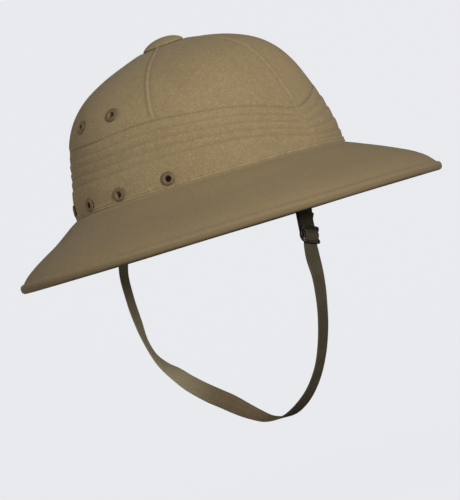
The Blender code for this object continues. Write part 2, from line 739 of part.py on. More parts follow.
def build_strap(right, left, material):
    """The woven chin strap: one flat band, doubled through the slide and wrapped at both ends."""
    line, width = resample(*strap_route(right, left), STRAP_STEP)
    tangents = unit(np.gradient(line, axis=0))
    width = unit(width - tangents * (width * tangents).sum(-1, keepdims=True))
    normal = np.cross(tangents, width)
    half, thick = STRAP_WIDTH / 2, STRAP_THICKNESS / 2
    corners = ((half, thick), (-half, thick), (-half, -thick), (half, -thick))
    rows = np.stack([line + width * a + normal * b for a, b in corners], 1)
    vertices = rows.reshape(-1, 3)
    faces = ring_faces(len(line), 4)
    faces += [(0, 1, 2, 3), tuple(len(vertices) - 1 - corner for corner in range(4))]
    return new_object("chin_strap", vertices, faces, material)


def main():
    for old in list(bpy.data.objects):
        bpy.data.objects.remove(old, do_unlink=True)
    shell = build_shell(new_material("khaki_cloth"))
    build_button(new_material("button_cloth"))
    eyelet_metal = new_material("eyelet_metal")
    for name, degrees, rise in EYELETS:
        build_eyelet(name, degrees, rise, eyelet_metal, shell)
    right, left = Side(-1), Side(1)
    anchor_metal = new_material("anchor_metal")
    build_anchor("strap_anchor_right", right, anchor_metal)
    build_anchor("strap_anchor_left", left, anchor_metal)
    build_slide(right, new_material("slide_metal"))
    build_strap(right, left, new_material("webbing"))


main()
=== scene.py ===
# %% [markdown]
# # A pith helmet
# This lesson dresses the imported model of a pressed-fibre sun helmet: a domed crown with moulded
# folds, a wide sloping brim, a covered button, brass eyelets and a webbing chin strap. The packed
# model is the frame, and every piece below is laid over the node that it stands for.

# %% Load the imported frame
import json
import math

import bmesh
import bpy
import numpy as np
from mathutils import Matrix, Vector

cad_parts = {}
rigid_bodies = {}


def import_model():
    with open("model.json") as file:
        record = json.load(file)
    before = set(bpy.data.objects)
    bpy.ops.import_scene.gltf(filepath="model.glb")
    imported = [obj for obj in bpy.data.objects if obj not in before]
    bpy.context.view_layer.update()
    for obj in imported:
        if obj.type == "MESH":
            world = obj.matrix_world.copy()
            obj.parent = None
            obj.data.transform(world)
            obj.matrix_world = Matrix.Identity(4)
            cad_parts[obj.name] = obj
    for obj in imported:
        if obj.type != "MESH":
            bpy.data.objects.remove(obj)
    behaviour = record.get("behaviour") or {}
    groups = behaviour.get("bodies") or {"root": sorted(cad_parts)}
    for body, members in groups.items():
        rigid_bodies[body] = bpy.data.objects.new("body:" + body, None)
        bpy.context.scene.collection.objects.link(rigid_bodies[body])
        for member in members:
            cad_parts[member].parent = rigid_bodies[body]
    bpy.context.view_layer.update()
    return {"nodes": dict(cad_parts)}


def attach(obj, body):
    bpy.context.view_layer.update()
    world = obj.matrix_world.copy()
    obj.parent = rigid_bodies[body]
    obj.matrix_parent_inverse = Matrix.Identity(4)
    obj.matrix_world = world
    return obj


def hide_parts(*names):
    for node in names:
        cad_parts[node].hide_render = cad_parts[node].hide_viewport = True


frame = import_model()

print("nodes:", sorted(frame["nodes"]))

# %% [markdown]
# ## Camera
# The helmet is seen from behind the wearer's right shoulder, at the height of the rim, and the
# picture is tipped so that the front of the brim rides up. A long lens keeps the ovals of crown
# and brim flat, so the camera stands a metre away, and the tip is a turn about its own line of
# sight.

# %% Camera
CAMERA_PLACE = Vector((-0.7676, -0.7397, -0.0412))
CAMERA_LOOK = Vector((0.7183, 0.6956, -0.0088))
CAMERA_TIP = math.radians(-16.87)
SENSOR = 36.0
LENS = 117.0


def add_object(name, data):
    """Puts a new object for some data into the scene, at the origin and unturned."""
    made = bpy.data.objects.new(name, data)
    bpy.context.scene.collection.objects.link(made)
    return made


def place_camera():
    """Aims the camera along the line of sight and then turns it about that line."""
    data = bpy.data.cameras.new("camera")
    data.sensor_fit = "HORIZONTAL"
    data.sensor_width = SENSOR
    data.lens = LENS
    data.clip_start, data.clip_end = 0.01, 50.0
    camera = add_object("camera", data)
    aim = CAMERA_LOOK.to_track_quat("-Z", "Y").to_matrix().to_4x4()
    tip = Matrix.Rotation(CAMERA_TIP, 4, "Z")
    camera.matrix_world = Matrix.Translation(CAMERA_PLACE) @ aim @ tip
    bpy.context.scene.camera = camera


place_camera()
print("camera at", tuple(round(value, 3) for value in CAMERA_PLACE))

# %% [markdown]
# ## Shader maths in Python
# A material is a small network of nodes. Writing it as sums in Python keeps it readable: a Value
# wraps one socket, and each arithmetic sign between Values adds the Math node that works it out.
# Every other node comes from one method that takes the node's kind, settings and sockets.

# %% A socket that takes part in sums
def arithmetic(operation, swapped=False):
    """A method that adds a Math node; swapped, for a number that stands before the sign."""
    def combine(self, other):
        first, second = (other, self) if swapped else (self, other)
        return self.finish.node("ShaderNodeMath", {"operation": operation}, {0: first, 1: second})
    return combine


class Value:
    """One output socket; the signs + - and * add Math nodes, also with a number first."""

    def __init__(self, finish, socket):
        self.finish, self.socket = finish, socket

    __add__, __radd__ = arithmetic("ADD"), arithmetic("ADD", True)
    __sub__, __rsub__ = arithmetic("SUBTRACT"), arithmetic("SUBTRACT", True)
    __mul__, __rmul__ = arithmetic("MULTIPLY"), arithmetic("MULTIPLY", True)

    def sine(self):
        return self.finish.node("ShaderNodeMath", {"operation": "SINE"}, {0: self})

    def ramp(self, low, high):
        """0 below low, 1 above high and a soft step between them."""
        settings = {"interpolation_type": "SMOOTHSTEP"}
        return self.finish.node("ShaderNodeMapRange", settings, {0: self, 1: low, 2: high})


# %% A material under construction
class Finish:
    """A material whose Principled shader is fed by nodes that this class adds."""

    def __init__(self, name, roughness, metallic=0.0, sheen=0.0, specular=0.5):
        self.material = bpy.data.materials.new(name)
        self.material.use_nodes = True
        self.tree = self.material.node_tree
        self.shader = self.tree.nodes["Principled BSDF"]
        constants = {"Roughness": roughness, "Metallic": metallic, "Sheen Weight": sheen,
                     "Specular IOR Level": specular}
        for socket, value in constants.items():
            self.shader.inputs[socket].default_value = value

    def node(self, kind, settings=None, sockets=None, out=0):
        """Adds a node: its settings first, then the values or links of its sockets."""
        made = self.tree.nodes.new(kind)
        for key, value in (settings or {}).items():
            setattr(made, key, value)
        for key, value in (sockets or {}).items():
            if isinstance(value, Value):
                self.tree.links.new(value.socket, made.inputs[key])
            else:
                made.inputs[key].default_value = value
        return Value(self, made.outputs[out])

    def mix(self, share, first, second):
        """A colour between two colours."""
        first, second = ((*colour, 1.0) if isinstance(colour, tuple) else colour
                         for colour in (first, second))
        sockets = {0: share, 6: first, 7: second}
        return self.node("ShaderNodeMix", {"data_type": "RGBA"}, sockets, out=2)

    def layers(self, colour, *coats):
        """A colour with coats laid over it one after another, each a share and a shade."""
        for share, shade in coats:
            colour = self.mix(share, colour, shade)
        return colour

    def attribute(self, name):
        return self.node("ShaderNodeAttribute", {"attribute_name": name}, out=2)

    def objects(self):
        """Places on the piece in metres."""
        return self.node("ShaderNodeTexCoord", out=3)

    def stretch(self, places, scale):
        """Places multiplied by a scale along each axis."""
        return self.node("ShaderNodeVectorMath", {"operation": "MULTIPLY"}, {0: places, 1: scale})

    def along(self, places, axis):
        """One of the places' three numbers."""
        return self.node("ShaderNodeSeparateXYZ", {}, {0: places}, out=axis)

    def noise(self, places, scale, detail=3.0, rough=0.55):
        """Soft noise between about 0.3 and 0.7."""
        sockets = {"Vector": places, "Scale": scale, "Detail": detail, "Roughness": rough}
        return self.node("ShaderNodeTexNoise", {}, sockets)

    def feed(self, **values):
        """Links values to the shader's sockets; an underscore in a name stands for a space."""
        for name, value in values.items():
            self.tree.links.new(value.socket, self.shader.inputs[name.replace("_", " ")])

    def bump(self, height, depth, strength=1.0, under=None):
        """A Bump node whose height, times a depth in metres, tilts the shader's normal."""
        sockets = {"Height": height, "Distance": depth, "Strength": strength}
        if under is not None:
            sockets["Normal"] = under
        return self.node("ShaderNodeBump", {}, sockets)


print("shader helpers ready")

# %% [markdown]
# ## Studio
# A pale sweep, which is a floor that curves up into a wall all round, leaves no horizon behind the
# helmet. One large lamp stands beside the camera, to the right, because the crown is brightest
# where it faces that way; a weaker one fills from the left and a soft one hangs overhead.

# %% Studio sweep
FLOOR_LEVEL = -0.62
SWEEP_RADIUS = 2.1
SWEEP_BEND = 1.2
SWEEP_WALL = 1.2
SWEEP_EYE = 0.02
SWEEP_SIDES = 96


def new_mesh_object(name, vertices, faces):
    """A smooth mesh object at the origin, from an array of places and a list of faces."""
    mesh = bpy.data.meshes.new(name)
    mesh.from_pydata(vertices.reshape(-1, 3).tolist(), [], faces)
    mesh.shade_smooth()
    return add_object(name, mesh)


def grid_faces(rows, columns):
    """Quads of a grid whose last column joins the first: each joins two rows and two columns."""
    row, column = np.meshgrid(np.arange(rows - 1), np.arange(columns), indexing="ij")
    here, there = row * columns, (row + 1) * columns
    beside = (column + 1) % columns
    quads = np.stack([here + column, there + column, there + beside, here + beside], -1)
    return quads.reshape(-1, 4)


def build_sweep():
    """A profile (radius, height) turned about Z: flat, a quarter circle, then straight up."""
    bend = np.linspace(0, math.pi / 2, 24)
    curve = SWEEP_RADIUS + SWEEP_BEND * np.sin(bend)
    radius = np.concatenate([[SWEEP_EYE], curve, [SWEEP_RADIUS + SWEEP_BEND]])[:, None]
    level = np.concatenate([[0.0], SWEEP_BEND * (1 - np.cos(bend)), [SWEEP_BEND + SWEEP_WALL]])
    turn = np.linspace(0, 2 * math.pi, SWEEP_SIDES, endpoint=False)
    height = FLOOR_LEVEL + level[:, None] + 0 * turn
    places = np.stack([radius * np.cos(turn), radius * np.sin(turn), height], -1)
    faces = grid_faces(len(radius), SWEEP_SIDES).tolist() + [list(range(SWEEP_SIDES))]
    return new_mesh_object("studio_sweep", places, faces)


SWEEP_COLOUR = (0.80, 0.81, 0.84)
SWEEP_GLOW = 0.875
sweep = build_sweep()
paper = Finish("studio_paper", 0.95, specular=0.1)
paper.shader.inputs["Base Color"].default_value = (0.30, 0.30, 0.31, 1.0)
paper.shader.inputs["Emission Color"].default_value = (*SWEEP_COLOUR, 1.0)
paper.shader.inputs["Emission Strength"].default_value = SWEEP_GLOW
sweep.visible_diffuse = False
sweep.visible_glossy = False
sweep.data.materials.append(paper.material)
print("sweep of", len(sweep.data.polygons), "faces")

# %% Lamps
LAMPS = [  # name, to the camera's right, towards the camera, up, side length, watts
    ("lamp_key", 0.72, 1.45, 0.34, 0.6, 30.5),
    ("lamp_fill", -1.45, 0.15, 0.2, 1.0, 7.5),
    ("lamp_over", 0.2, -0.2, 1.6, 1.8, 2.1),
]
SIDEWAYS = Vector((CAMERA_LOOK.y, -CAMERA_LOOK.x, 0.0)).normalized()
TOWARDS = Vector((-CAMERA_LOOK.x, -CAMERA_LOOK.y, 0.0)).normalized()


def place_lamp(name, right, near, up, side, power):
    """A square area lamp that faces the helmet's middle."""
    data = bpy.data.lights.new(name, "AREA")
    data.shape, data.size, data.energy = "SQUARE", side, power
    place = SIDEWAYS * right + TOWARDS * near + Vector((0.0, 0.0, up))
    aim = (-place).to_track_quat("-Z", "Y").to_matrix().to_4x4()
    add_object(name, data).matrix_world = Matrix.Translation(place) @ aim


for row in LAMPS:
    place_lamp(*row)
world = bpy.data.worlds.new("studio_air")
world.use_nodes = True
air = world.node_tree.nodes["Background"].inputs
air["Color"].default_value, air["Strength"].default_value = (1.0, 0.98, 0.94, 1.0), 0.24
bpy.context.scene.world = world
bpy.context.scene.view_settings.view_transform = "Standard"
print("lamps:", [row[0] for row in LAMPS])

# %% [markdown]
# ## The crown and brim as formulas
# The shell is pressed over a form, so its shape is one smooth surface. The crown is a stack of
# ovals: a short table says how wide the oval is at each share of the height, and a curve is read
# through it. The brim runs from the crown's foot to the rim's oval, and a second table gives its
# fall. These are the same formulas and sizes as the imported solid's, so the two fit.

# %% Sizes and tables of the shell
BRIM_LENGTH, BRIM_WIDTH, BRIM_FORWARD, BRIM_DROP = 0.340, 0.284, 0.010, 0.0388
RIM_DEPTH, RIM_ROUND = 0.0065, 0.0028
CROWN_LENGTH, CROWN_WIDTH, CROWN_HEIGHT = 0.212, 0.183, 0.102
CROWN_FRONT_RISE, CROWN_BACK_LEAN, WALL = 0.0125, 0.0085, 0.003
FOLD_COUNT, FOLD_DEPTH, FOLD_LEDGE = 5, 0.0005, 0.0024
RIB_WIDTH, RIB_HEIGHT, BEAD_WIDTH, BEAD_HEIGHT = 0.0036, 0.0008, 0.0032, 0.0007
BUTTON_RADIUS, BUTTON_HEIGHT = 0.0150, 0.0052
CROWN_SECTION = np.array([  # share of the height, share of the half size, share of the lean
    (1.00, 0.000, 1.00), (0.99, 0.150, 0.98), (0.955, 0.333, 0.66), (0.90, 0.501, 0.65),
    (0.82, 0.656, 0.66), (0.72, 0.768, 0.62), (0.60, 0.847, 0.53), (0.45, 0.905, 0.35),
    (0.28, 0.953, 0.10), (0.12, 0.990, 0.04), (0.00, 1.000, 0.00)])
BRIM_SECTION = np.array([  # share of the way out, share of the fall in front, and behind
    (0.00, 0.000, 0.000), (0.04, 0.032, 0.038), (0.10, 0.075, 0.090), (0.20, 0.146, 0.195),
    (0.40, 0.290, 0.405), (0.60, 0.460, 0.572), (0.80, 0.655, 0.752), (0.92, 0.827, 0.882),
    (1.00, 1.000, 1.000)])
FOLD_LINES = np.array([  # degrees from the front, top and bottom fold's share of the height
    (0.0, 0.455, 0.126), (25.0, 0.441, 0.116), (45.0, 0.412, 0.089), (60.0, 0.366, 0.069),
    (72.0, 0.309, 0.065), (84.0, 0.270, 0.075), (100.0, 0.334, 0.127), (112.0, 0.387, 0.168),
    (130.0, 0.437, 0.201), (150.0, 0.480, 0.218), (180.0, 0.477, 0.212)])
RIB_TURNS = np.radians([0.0, 83.5, 147.5, 212.5, 276.5])
SECTION_DEPTH = np.sqrt(1 - CROWN_SECTION[:, 0])
print("crown table of", len(CROWN_SECTION), "rows, brim table of", len(BRIM_SECTION))


# %% Curves through tables, and the crown
X_AXIS, Z_AXIS = np.array([1.0, 0.0, 0.0]), np.array([0.0, 0.0, 1.0])


def smooth(places, values, at):
    """A cubic through each pair of table rows, with the table's own slopes at both."""
    slopes = np.gradient(values, places)
    at = np.clip(at, places[0], places[-1])
    left = np.clip(np.searchsorted(places, at, side="right") - 1, 0, len(places) - 2)
    span = places[left + 1] - places[left]
    share = (at - places[left]) / span
    start = (1 + 2 * share) * (1 - share) ** 2 * values[left]
    end = share**2 * (3 - 2 * share) * values[left + 1]
    leaving = share * (1 - share) ** 2 * span * slopes[left]
    arriving = share**2 * (share - 1) * span * slopes[left + 1]
    return start + end + leaving + arriving


def unit(vectors):
    """Vectors divided by their lengths."""
    return vectors / np.linalg.norm(vectors, axis=-1, keepdims=True)


def crown(turn, height):
    """Oval at a share of the height: half size times (cos, sin) of the turn, leaning back."""
    depth = np.sqrt(np.clip(1 - height, 0, 1))
    size = smooth(SECTION_DEPTH, CROWN_SECTION[:, 1], depth)
    lean = CROWN_BACK_LEAN * smooth(SECTION_DEPTH, CROWN_SECTION[:, 2], depth)
    x = CROWN_LENGTH / 2 * size * np.cos(turn) - lean
    y = CROWN_WIDTH / 2 * size * np.sin(turn)
    z = CROWN_HEIGHT * height + CROWN_FRONT_RISE * size * np.cos(turn) * height
    return np.stack(np.broadcast_arrays(x, y, z), -1)


def crown_normal(turn, height):
    """Cross product of the crown's steps round and up."""
    step = 0.002
    height = np.clip(height, step, 1 - 2 * step)
    round_it = crown(turn + step, height) - crown(turn - step, height)
    up_it = crown(turn, height + step) - crown(turn, height - step)
    return unit(np.cross(round_it, up_it))


def plan_radius(height):
    """Mean plan radius of the crown at a share of the height."""
    size = smooth(SECTION_DEPTH, CROWN_SECTION[:, 1], np.sqrt(np.clip(1 - height, 0, 1)))
    return size * math.sqrt(CROWN_LENGTH * CROWN_WIDTH) / 2


print("crown top at", crown(np.array(0.0), np.array(1.0)).round(4))


# %% The brim and its rim
def brim(turn, out):
    """From the crown's foot straight out to the rim's oval, falling as the table says."""
    foot = crown(turn, np.zeros_like(turn))
    front = (1 + np.cos(turn)) / 2
    drop = front * smooth(BRIM_SECTION[:, 0], BRIM_SECTION[:, 1], out)
    drop = drop + (1 - front) * smooth(BRIM_SECTION[:, 0], BRIM_SECTION[:, 2], out)
    x = BRIM_FORWARD + (BRIM_LENGTH / 2 - RIM_ROUND) * np.cos(turn)
    y = (BRIM_WIDTH / 2 - RIM_ROUND) * np.sin(turn)
    edge = np.stack([x, y, np.zeros_like(turn)], -1)
    points = foot + (edge - foot) * out[..., None]
    points[..., 2] = -(BRIM_DROP - RIM_DEPTH) * drop
    return points


def brim_normal(turn, out):
    """Cross product of the brim's steps outwards and round."""
    step = 0.01
    low, high = np.clip(out - step, 0, 1), np.clip(out + step, 0, 1)
    outward = brim(turn, high) - brim(turn, low)
    round_it = brim(turn + step, out) - brim(turn - step, out)
    return unit(np.cross(outward, round_it))


def rim(turn, inset, depth):
    """The rim's oval drawn in by an inset, at a depth below the brim's corner."""
    x = BRIM_FORWARD + (BRIM_LENGTH / 2 - inset) * np.cos(turn)
    y = (BRIM_WIDTH / 2 - inset) * np.sin(turn)
    return np.stack([x, y, -(BRIM_DROP - RIM_DEPTH) - depth + 0 * turn], -1)


def fold_line(turn, number):
    """A fold's share of the height: even steps between the top and the bottom fold."""
    degrees = np.degrees(np.abs((turn + math.pi) % (2 * math.pi) - math.pi))
    share = number / (FOLD_COUNT - 1)
    top = smooth(FOLD_LINES[:, 0], FOLD_LINES[:, 1], degrees)
    return (1 - share) * top + share * smooth(FOLD_LINES[:, 0], FOLD_LINES[:, 2], degrees)


print("brim corner in front at", brim(np.array(0.0), np.array(1.0)).round(4))

# %% [markdown]
# ## Columns that follow the ribs
# A rib keeps its width from the button to the folds, while the gores between the ribs narrow
# towards the top. So the grid's columns are laid gore by gore: a few follow each rib at a fixed
# distance from its middle line, and the rest share out what is left of the gore.

# %% Columns of the shell's grid
RIB_REACH = 0.0042
RIB_STEPS = 6
COLUMN_DEGREES = 1.3


def lay_columns():
    """For each column: its gore's first rib, the gore's width, which part it is in, its share."""
    widths = np.diff(np.append(RIB_TURNS, 2 * math.pi))
    found = []
    for start, width in zip(RIB_TURNS, widths):
        plain = round(math.degrees(width) / COLUMN_DEGREES)
        steps = [np.arange(count) / count for count in (RIB_STEPS, plain, RIB_STEPS)]
        for part, shares in enumerate(steps):
            found.append([(start, width, part, share) for share in shares])
    return np.array([column for block in found for column in block]).T


COLUMNS = lay_columns()


def column_turns(radius):
    """Turn of each column and its distance from the nearest rib's middle, at a plan radius."""
    start, width, part, share = COLUMNS
    reach = np.minimum(RIB_REACH / radius, 0.36 * width)
    plain = reach + share * (width - 2 * reach)
    ahead = np.select([part == 0, part == 1], [share * reach, plain], width - reach + share * reach)
    distance = np.minimum(ahead, width - ahead) * radius
    return start + ahead, distance


print("columns:", COLUMNS.shape[1])

# %% [markdown]
# ## Relief of the crown
# The folds of a cloth band are moulded into the fibre. Each fold stands out in a small ledge and
# slopes back in to the next one, so light catches the ledge and a thin shadow lies above it. The
# ribs are low rounded ridges, and a double bead runs round the crown's foot. Shade is also painted
# into the cloth above each ledge, beside the ribs and between the bead's rolls.

# %% Relief of folds, ribs and bead
def soft_step(value, low, high):
    """0 below low and 1 above high, with a smooth cubic between them."""
    share = np.clip((value - low) / (high - low), 0, 1)
    return share * share * (3 - 2 * share)


PLAIN_STRIP_TURN = math.radians(84.5)
PLAIN_STRIP_WIDTH = 0.0030
FOLD_GROOVE = 0.00015
FIRST_FOLD, PASSING_FOLD = 0.45, 0.35  # how strong the top fold is, how much the last one gives way
BEAD_BAND = 1.15 * BEAD_WIDTH


def fold_strength(turn, number):
    """1 along a fold and 0 in the upright strip at the side rib's foot; the last fold passes."""
    folded = np.abs((turn + math.pi) % (2 * math.pi) - math.pi)
    away = np.abs(folded - PLAIN_STRIP_TURN) * CROWN_LENGTH / 2
    gone = 1 - soft_step(away, PLAIN_STRIP_WIDTH * 0.6, PLAIN_STRIP_WIDTH * 1.9)
    strong = FIRST_FOLD if number == 0 else 1.0
    return strong * (1 - (PASSING_FOLD if number == FOLD_COUNT - 1 else 1.0) * gone)


def bell(value, middle, spread):
    """exp(-((value - middle) / spread) ** 2)."""
    return np.exp(-(((value - middle) / spread) ** 2))


def rib_groove(distance):
    """1 in the groove beside a rib, and nothing away from it."""
    return bell(distance, 0.62 * RIB_WIDTH, 0.16 * RIB_WIDTH)


def rib_relief(distance):
    """A raised cosine across the rib with a faint groove on each side of it."""
    across = np.clip(distance / (RIB_WIDTH / 2), 0, 1)
    ridge = 0.5 + 0.5 * np.cos(math.pi * across)
    return RIB_HEIGHT * ridge - 0.12 * RIB_HEIGHT * rib_groove(distance)


def crown_rows(height, relief):
    """Crown points for rows of heights, pushed out along the normal by the relief."""
    turn, distance = column_turns(np.maximum(plan_radius(height), 0.001))
    points = crown(turn, height)
    return points + crown_normal(turn, height) * relief(distance)[..., None], turn, distance


print("relief ready")


# %% Rows of the outer crown
TOP_ROWS, LEDGE_ROWS, SLOPE_ROWS, BAND_ROWS, BEAD_ROWS = 52, 6, 6, 12, 14
# Strengths of the shade painted beside the ribs and between the bead's rolls.
RIB_SHADOW, BEAD_SHADOW = 1.3, 0.7


def top_block(turn):
    """From the middle of the crown to just above the top fold, even in the root of the depth."""
    last = np.sqrt(1 - fold_line(turn, 0) - FOLD_LEDGE / 2 / CROWN_HEIGHT)
    share = np.linspace(0.02, 1, TOP_ROWS)[:, None]
    height = 1 - (share * last) ** 2
    strong = soft_step(share, 0.12, 0.17) * (1 - soft_step(share, 0.955, 0.995))
    # The third function gives painted shade in the grooves beside the ribs.
    return (height, lambda distance: rib_relief(distance) * strong,
            lambda distance: RIB_SHADOW * strong * rib_groove(distance))


def fold_block(turn, number):
    """One ledge, which steps out in a smooth cubic, and the slope back in towards the next."""
    line, half = fold_line(turn, number), FOLD_LEDGE / 2 / CROWN_HEIGHT
    last = number == FOLD_COUNT - 1
    foot = np.maximum(line * 0, BEAD_BAND / CROWN_HEIGHT)
    below = foot if last else fold_line(turn, number + 1) + half
    strength = fold_strength(turn, number)
    after = strength * 0 if last else fold_strength(turn, number + 1)
    step = np.linspace(0, 1, LEDGE_ROWS + 1)[:-1, None]
    slope = np.linspace(0, 1, (BAND_ROWS if last else SLOPE_ROWS) + 1)[:-1, None]
    ledge, band = line + half - 2 * half * step, line - half + (below - line + half) * slope
    height = np.concatenate([ledge, band])
    rise = step**2 * (3 - 2 * step)
    out = strength * (FOLD_DEPTH * rise - FOLD_GROOVE * (1 - step) ** 3)
    back = FOLD_DEPTH * strength * (1 - slope) - FOLD_GROOVE * after * slope**6
    relief = np.concatenate([out, back])
    # Painted shade: a dark line above each ledge and where the slope meets the next fold.
    mark = np.concatenate([strength * (1 - step) ** 2, after * slope**8 * 0.8])
    return height, lambda distance: relief + 0 * distance, lambda distance: mark


def bead_block(turn):
    """Two small rolls side by side round the crown's foot."""
    share = np.linspace(0, 1, BEAD_ROWS)[:, None]
    height = BEAD_BAND * (1 - share) / CROWN_HEIGHT + 0 * turn
    rolls = np.abs(np.sin(2 * math.pi * share)) ** 0.7
    relief = BEAD_HEIGHT * rolls + BEAD_HEIGHT * 0.35 * share
    # Painted shade in the hollow between the two rolls.
    mark = BEAD_SHADOW * bell(share, 0.5, 0.09)
    return height, lambda distance: relief + 0 * distance, lambda distance: mark


base_turns, _ = column_turns(plan_radius(np.array(0.2)))
blocks = [top_block(base_turns)]
blocks += [fold_block(base_turns, number) for number in range(FOLD_COUNT)]
blocks.append(bead_block(base_turns))
print("crown rows:", sum(len(block[0]) for block in blocks))

# %% [markdown]
# ## The whole shell as one grid
# The rows go on over the brim, round the rim and back up inside, so crown and brim are one closed
# wall, as the pressed fibre is. Four marks ride along on the grid for the cloth's material: how
# much painted shade a place gets (with some dirt on the rim), how worn, how soiled, and whether it
# lies inside.

# %% Rows of the whole shell
BRIM_ROWS, RIM_ROWS, UNDER_ROWS, INNER_ROWS = 44, 7, 24, 30
SWAY = 0.00035
# Painted shade on the rim's downward face and lip, with some dirt.
RIM_SHADE_AND_DIRT = 3.2


def sway(turn, out):
    """A slow unevenness of the brim in metres, nothing at the foot and most near the rim."""
    wave = 0.5 * np.sin(3 * turn + 0.7) + 0.3 * np.sin(5 * turn + 2.1) + 0.2 * np.sin(8 * turn)
    return SWAY * wave * out**2


def brim_sheet(turn, share, under=0.0):
    """Brim rows at shares of the way out, or their underside at a depth below them."""
    turn, share = np.broadcast_arrays(turn, share)
    points = brim(turn, share)
    if under:
        points = points - under * brim_normal(turn, share)
    points[..., 2] += sway(turn, share)
    return points


def rim_rows(turn):
    """Rows round the rim: points, a mark of painted shade and dirt, and a wear mark, from its upper
    corner to its lip.
    """
    bend = np.linspace(0, math.pi / 2, RIM_ROWS)[1:, None]
    near, far = RIM_ROUND * (1 - np.sin(bend)), RIM_ROUND * (1 - np.cos(bend))
    upright = np.linspace(RIM_ROUND, RIM_DEPTH - RIM_ROUND, 5)[1:-1, None]
    # Painted shade: the corner darkens as it turns down, and the face and lip below are darker,
    # partly as dirt.
    yield rim(turn + 0 * bend, near, far), bend / 2, 1.8 * bell(bend, 0.45, 0.35)
    yield rim(turn + 0 * upright, 0 * upright, upright), RIM_SHADE_AND_DIRT, 0.0
    yield rim(turn + 0 * bend, far, RIM_DEPTH - near), RIM_SHADE_AND_DIRT, 0.1
    yield rim(turn, WALL, np.array([[RIM_DEPTH]])), RIM_SHADE_AND_DIRT, 0.2


def shell_grid():
    """Places and turns of all rows, and each row's marks, as arrays."""
    places, turns, marks = [], [], {"shade_and_dirt": [], "worn": [], "soiled": [], "inside": []}

    def add(points, turn, *given):
        places.append(points)
        turns.append(turn + 0 * points[..., 0])
        for name, mark in zip(marks, given):
            marks[name].append(mark + 0 * points[..., 0])

    for height, relief, mark in blocks:
        points, turn, distance = crown_rows(height, relief)
        rubbed = 0.9 * np.clip(relief(distance) / RIB_HEIGHT, 0, 1) ** 2
        add(points, turn, mark(distance), rubbed, 0.0, 0.0)
    turn = column_turns(plan_radius(np.array(0.0)))[0][None, :]
    share = (np.linspace(0, 1, BRIM_ROWS + 1)[1:, None]) ** 1.15
    worn, soiled = 0.6 * soft_step(share, 0.955, 1.0), soft_step(share, 0.02, 0.10)
    # Painted shade at the brim's foot, in the corner under the crown's bead.
    add(brim_sheet(turn, share), turn, 0.9 * bell(share, 0.0, 0.03), worn, soiled, 0.0)
    for points, rim_shade_and_dirt, worn in rim_rows(turn):
        points[..., 2] += sway(turn, 1.0)
        add(points, turn, rim_shade_and_dirt, worn, 1.0, 0.0)
    share = np.linspace(0.985, 0.04, UNDER_ROWS)[:, None]
    add(brim_sheet(turn, share, WALL), turn, 0.0, 0.0, 0.0, 1.0)
    height = 1 - np.linspace(1.0, 0.02, INNER_ROWS)[:, None] ** 2 + 0 * turn
    turn, _ = column_turns(np.maximum(plan_radius(height), 0.001))
    add(crown(turn, height) - WALL * crown_normal(turn, height), turn, 0.0, 0.0, 0.0, 1.0)
    marks = {name: np.concatenate(rows) for name, rows in marks.items()}
    return np.concatenate(places), np.concatenate(turns), marks


grid = shell_grid()
print("shell grid:", grid[0].shape)


# %% The shell's mesh and its cloth coordinates
def cloth_coordinates(places, turns):
    """Metres across a gore from its middle line, and metres down from the crown's top."""
    start, width = COLUMNS[0], COLUMNS[1]
    centre = start + width / 2
    radius = np.hypot(places[..., 0], places[..., 1])
    steps = np.linalg.norm(np.diff(places, axis=0), axis=-1)
    down = np.concatenate([np.zeros((1, steps.shape[1])), np.cumsum(steps, axis=0)])
    return (turns - centre) * radius, down, centre, radius


def store(mesh, name, values):
    """Puts one number a vertex into the mesh as an attribute that materials can read."""
    attribute = mesh.attributes.new(name, "FLOAT", "POINT")
    attribute.data.foreach_set("value", np.asarray(values, np.float32).ravel())


def end_fans(rows, columns):
    """Triangles that close a grid's first and last row with a point each, added after it."""
    side = np.arange(columns)
    beside, last, count = (side + 1) % columns, (rows - 1) * columns, rows * columns
    first = np.stack([side * 0 + count, side, beside], -1)
    return np.concatenate([first, np.stack([last + beside, last + side, side * 0 + count + 1], -1)])


def build_shell():
    """The grid as quads, closed over the middle by a fan at each end."""
    places, turns, marks = grid
    rows, columns = places.shape[:2]
    vertices = np.concatenate([places.reshape(-1, 3), [places[0].mean(0)], [places[-1].mean(0)]])
    quads, fans = grid_faces(rows, columns), end_fans(rows, columns)
    made = new_mesh_object("shell_cloth", vertices, quads.tolist() + fans.tolist())
    across, down, centre, radius = cloth_coordinates(places, turns)
    flat = np.stack([across, down], -1).reshape(-1, 2)
    gore = np.broadcast_to(centre, turns.shape).reshape(-1)
    ring = turns.reshape(-1)[quads]
    ring = ring + 2 * math.pi * (ring < ring[:, :1] - math.pi)
    corners = flat[quads]
    corners[..., 0] = (ring - gore[quads[:, 0]][:, None]) * radius.reshape(-1)[quads]
    ends = flat[fans.clip(0, rows * columns - 1)]
    sheet = np.concatenate([corners.reshape(-1, 2), ends.reshape(-1, 2)])
    made.data.uv_layers.new(name="cloth").data.foreach_set("uv", sheet.ravel())
    for name, values in marks.items():
        store(made.data, name, np.append(values.ravel(), (values[0].mean(), values[-1].mean())))
    return made


shell = build_shell()
print("shell faces:", len(shell.data.polygons))

# %% [markdown]
# ## Khaki cotton over pressed fibre
# The cover is a plain cotton cloth, glued down and faded: its weave is finer than half a
# millimetre, so from a metre away it reads as an uneven grain with slubs in it. Shade is painted
# into the folds, the grooves beside the ribs, the bead and the corners, with some dirt on the rim;
# edges are rubbed pale, and the colour drifts slowly over the whole helmet.

# %% Cloth material
CLOTH_LIGHT = (0.275, 0.206, 0.108)
CLOTH_BASE = (0.220, 0.163, 0.084)
CLOTH_DARK = (0.160, 0.117, 0.060)
CLOTH_WORN = (0.330, 0.250, 0.132)
# Used for real scuffs and also for painted shade.
CLOTH_DIRT_AND_SHADE = (0.100, 0.074, 0.040)
INSIDE_COLOUR = (0.095, 0.072, 0.043)
THREAD_SPACING = 0.00095


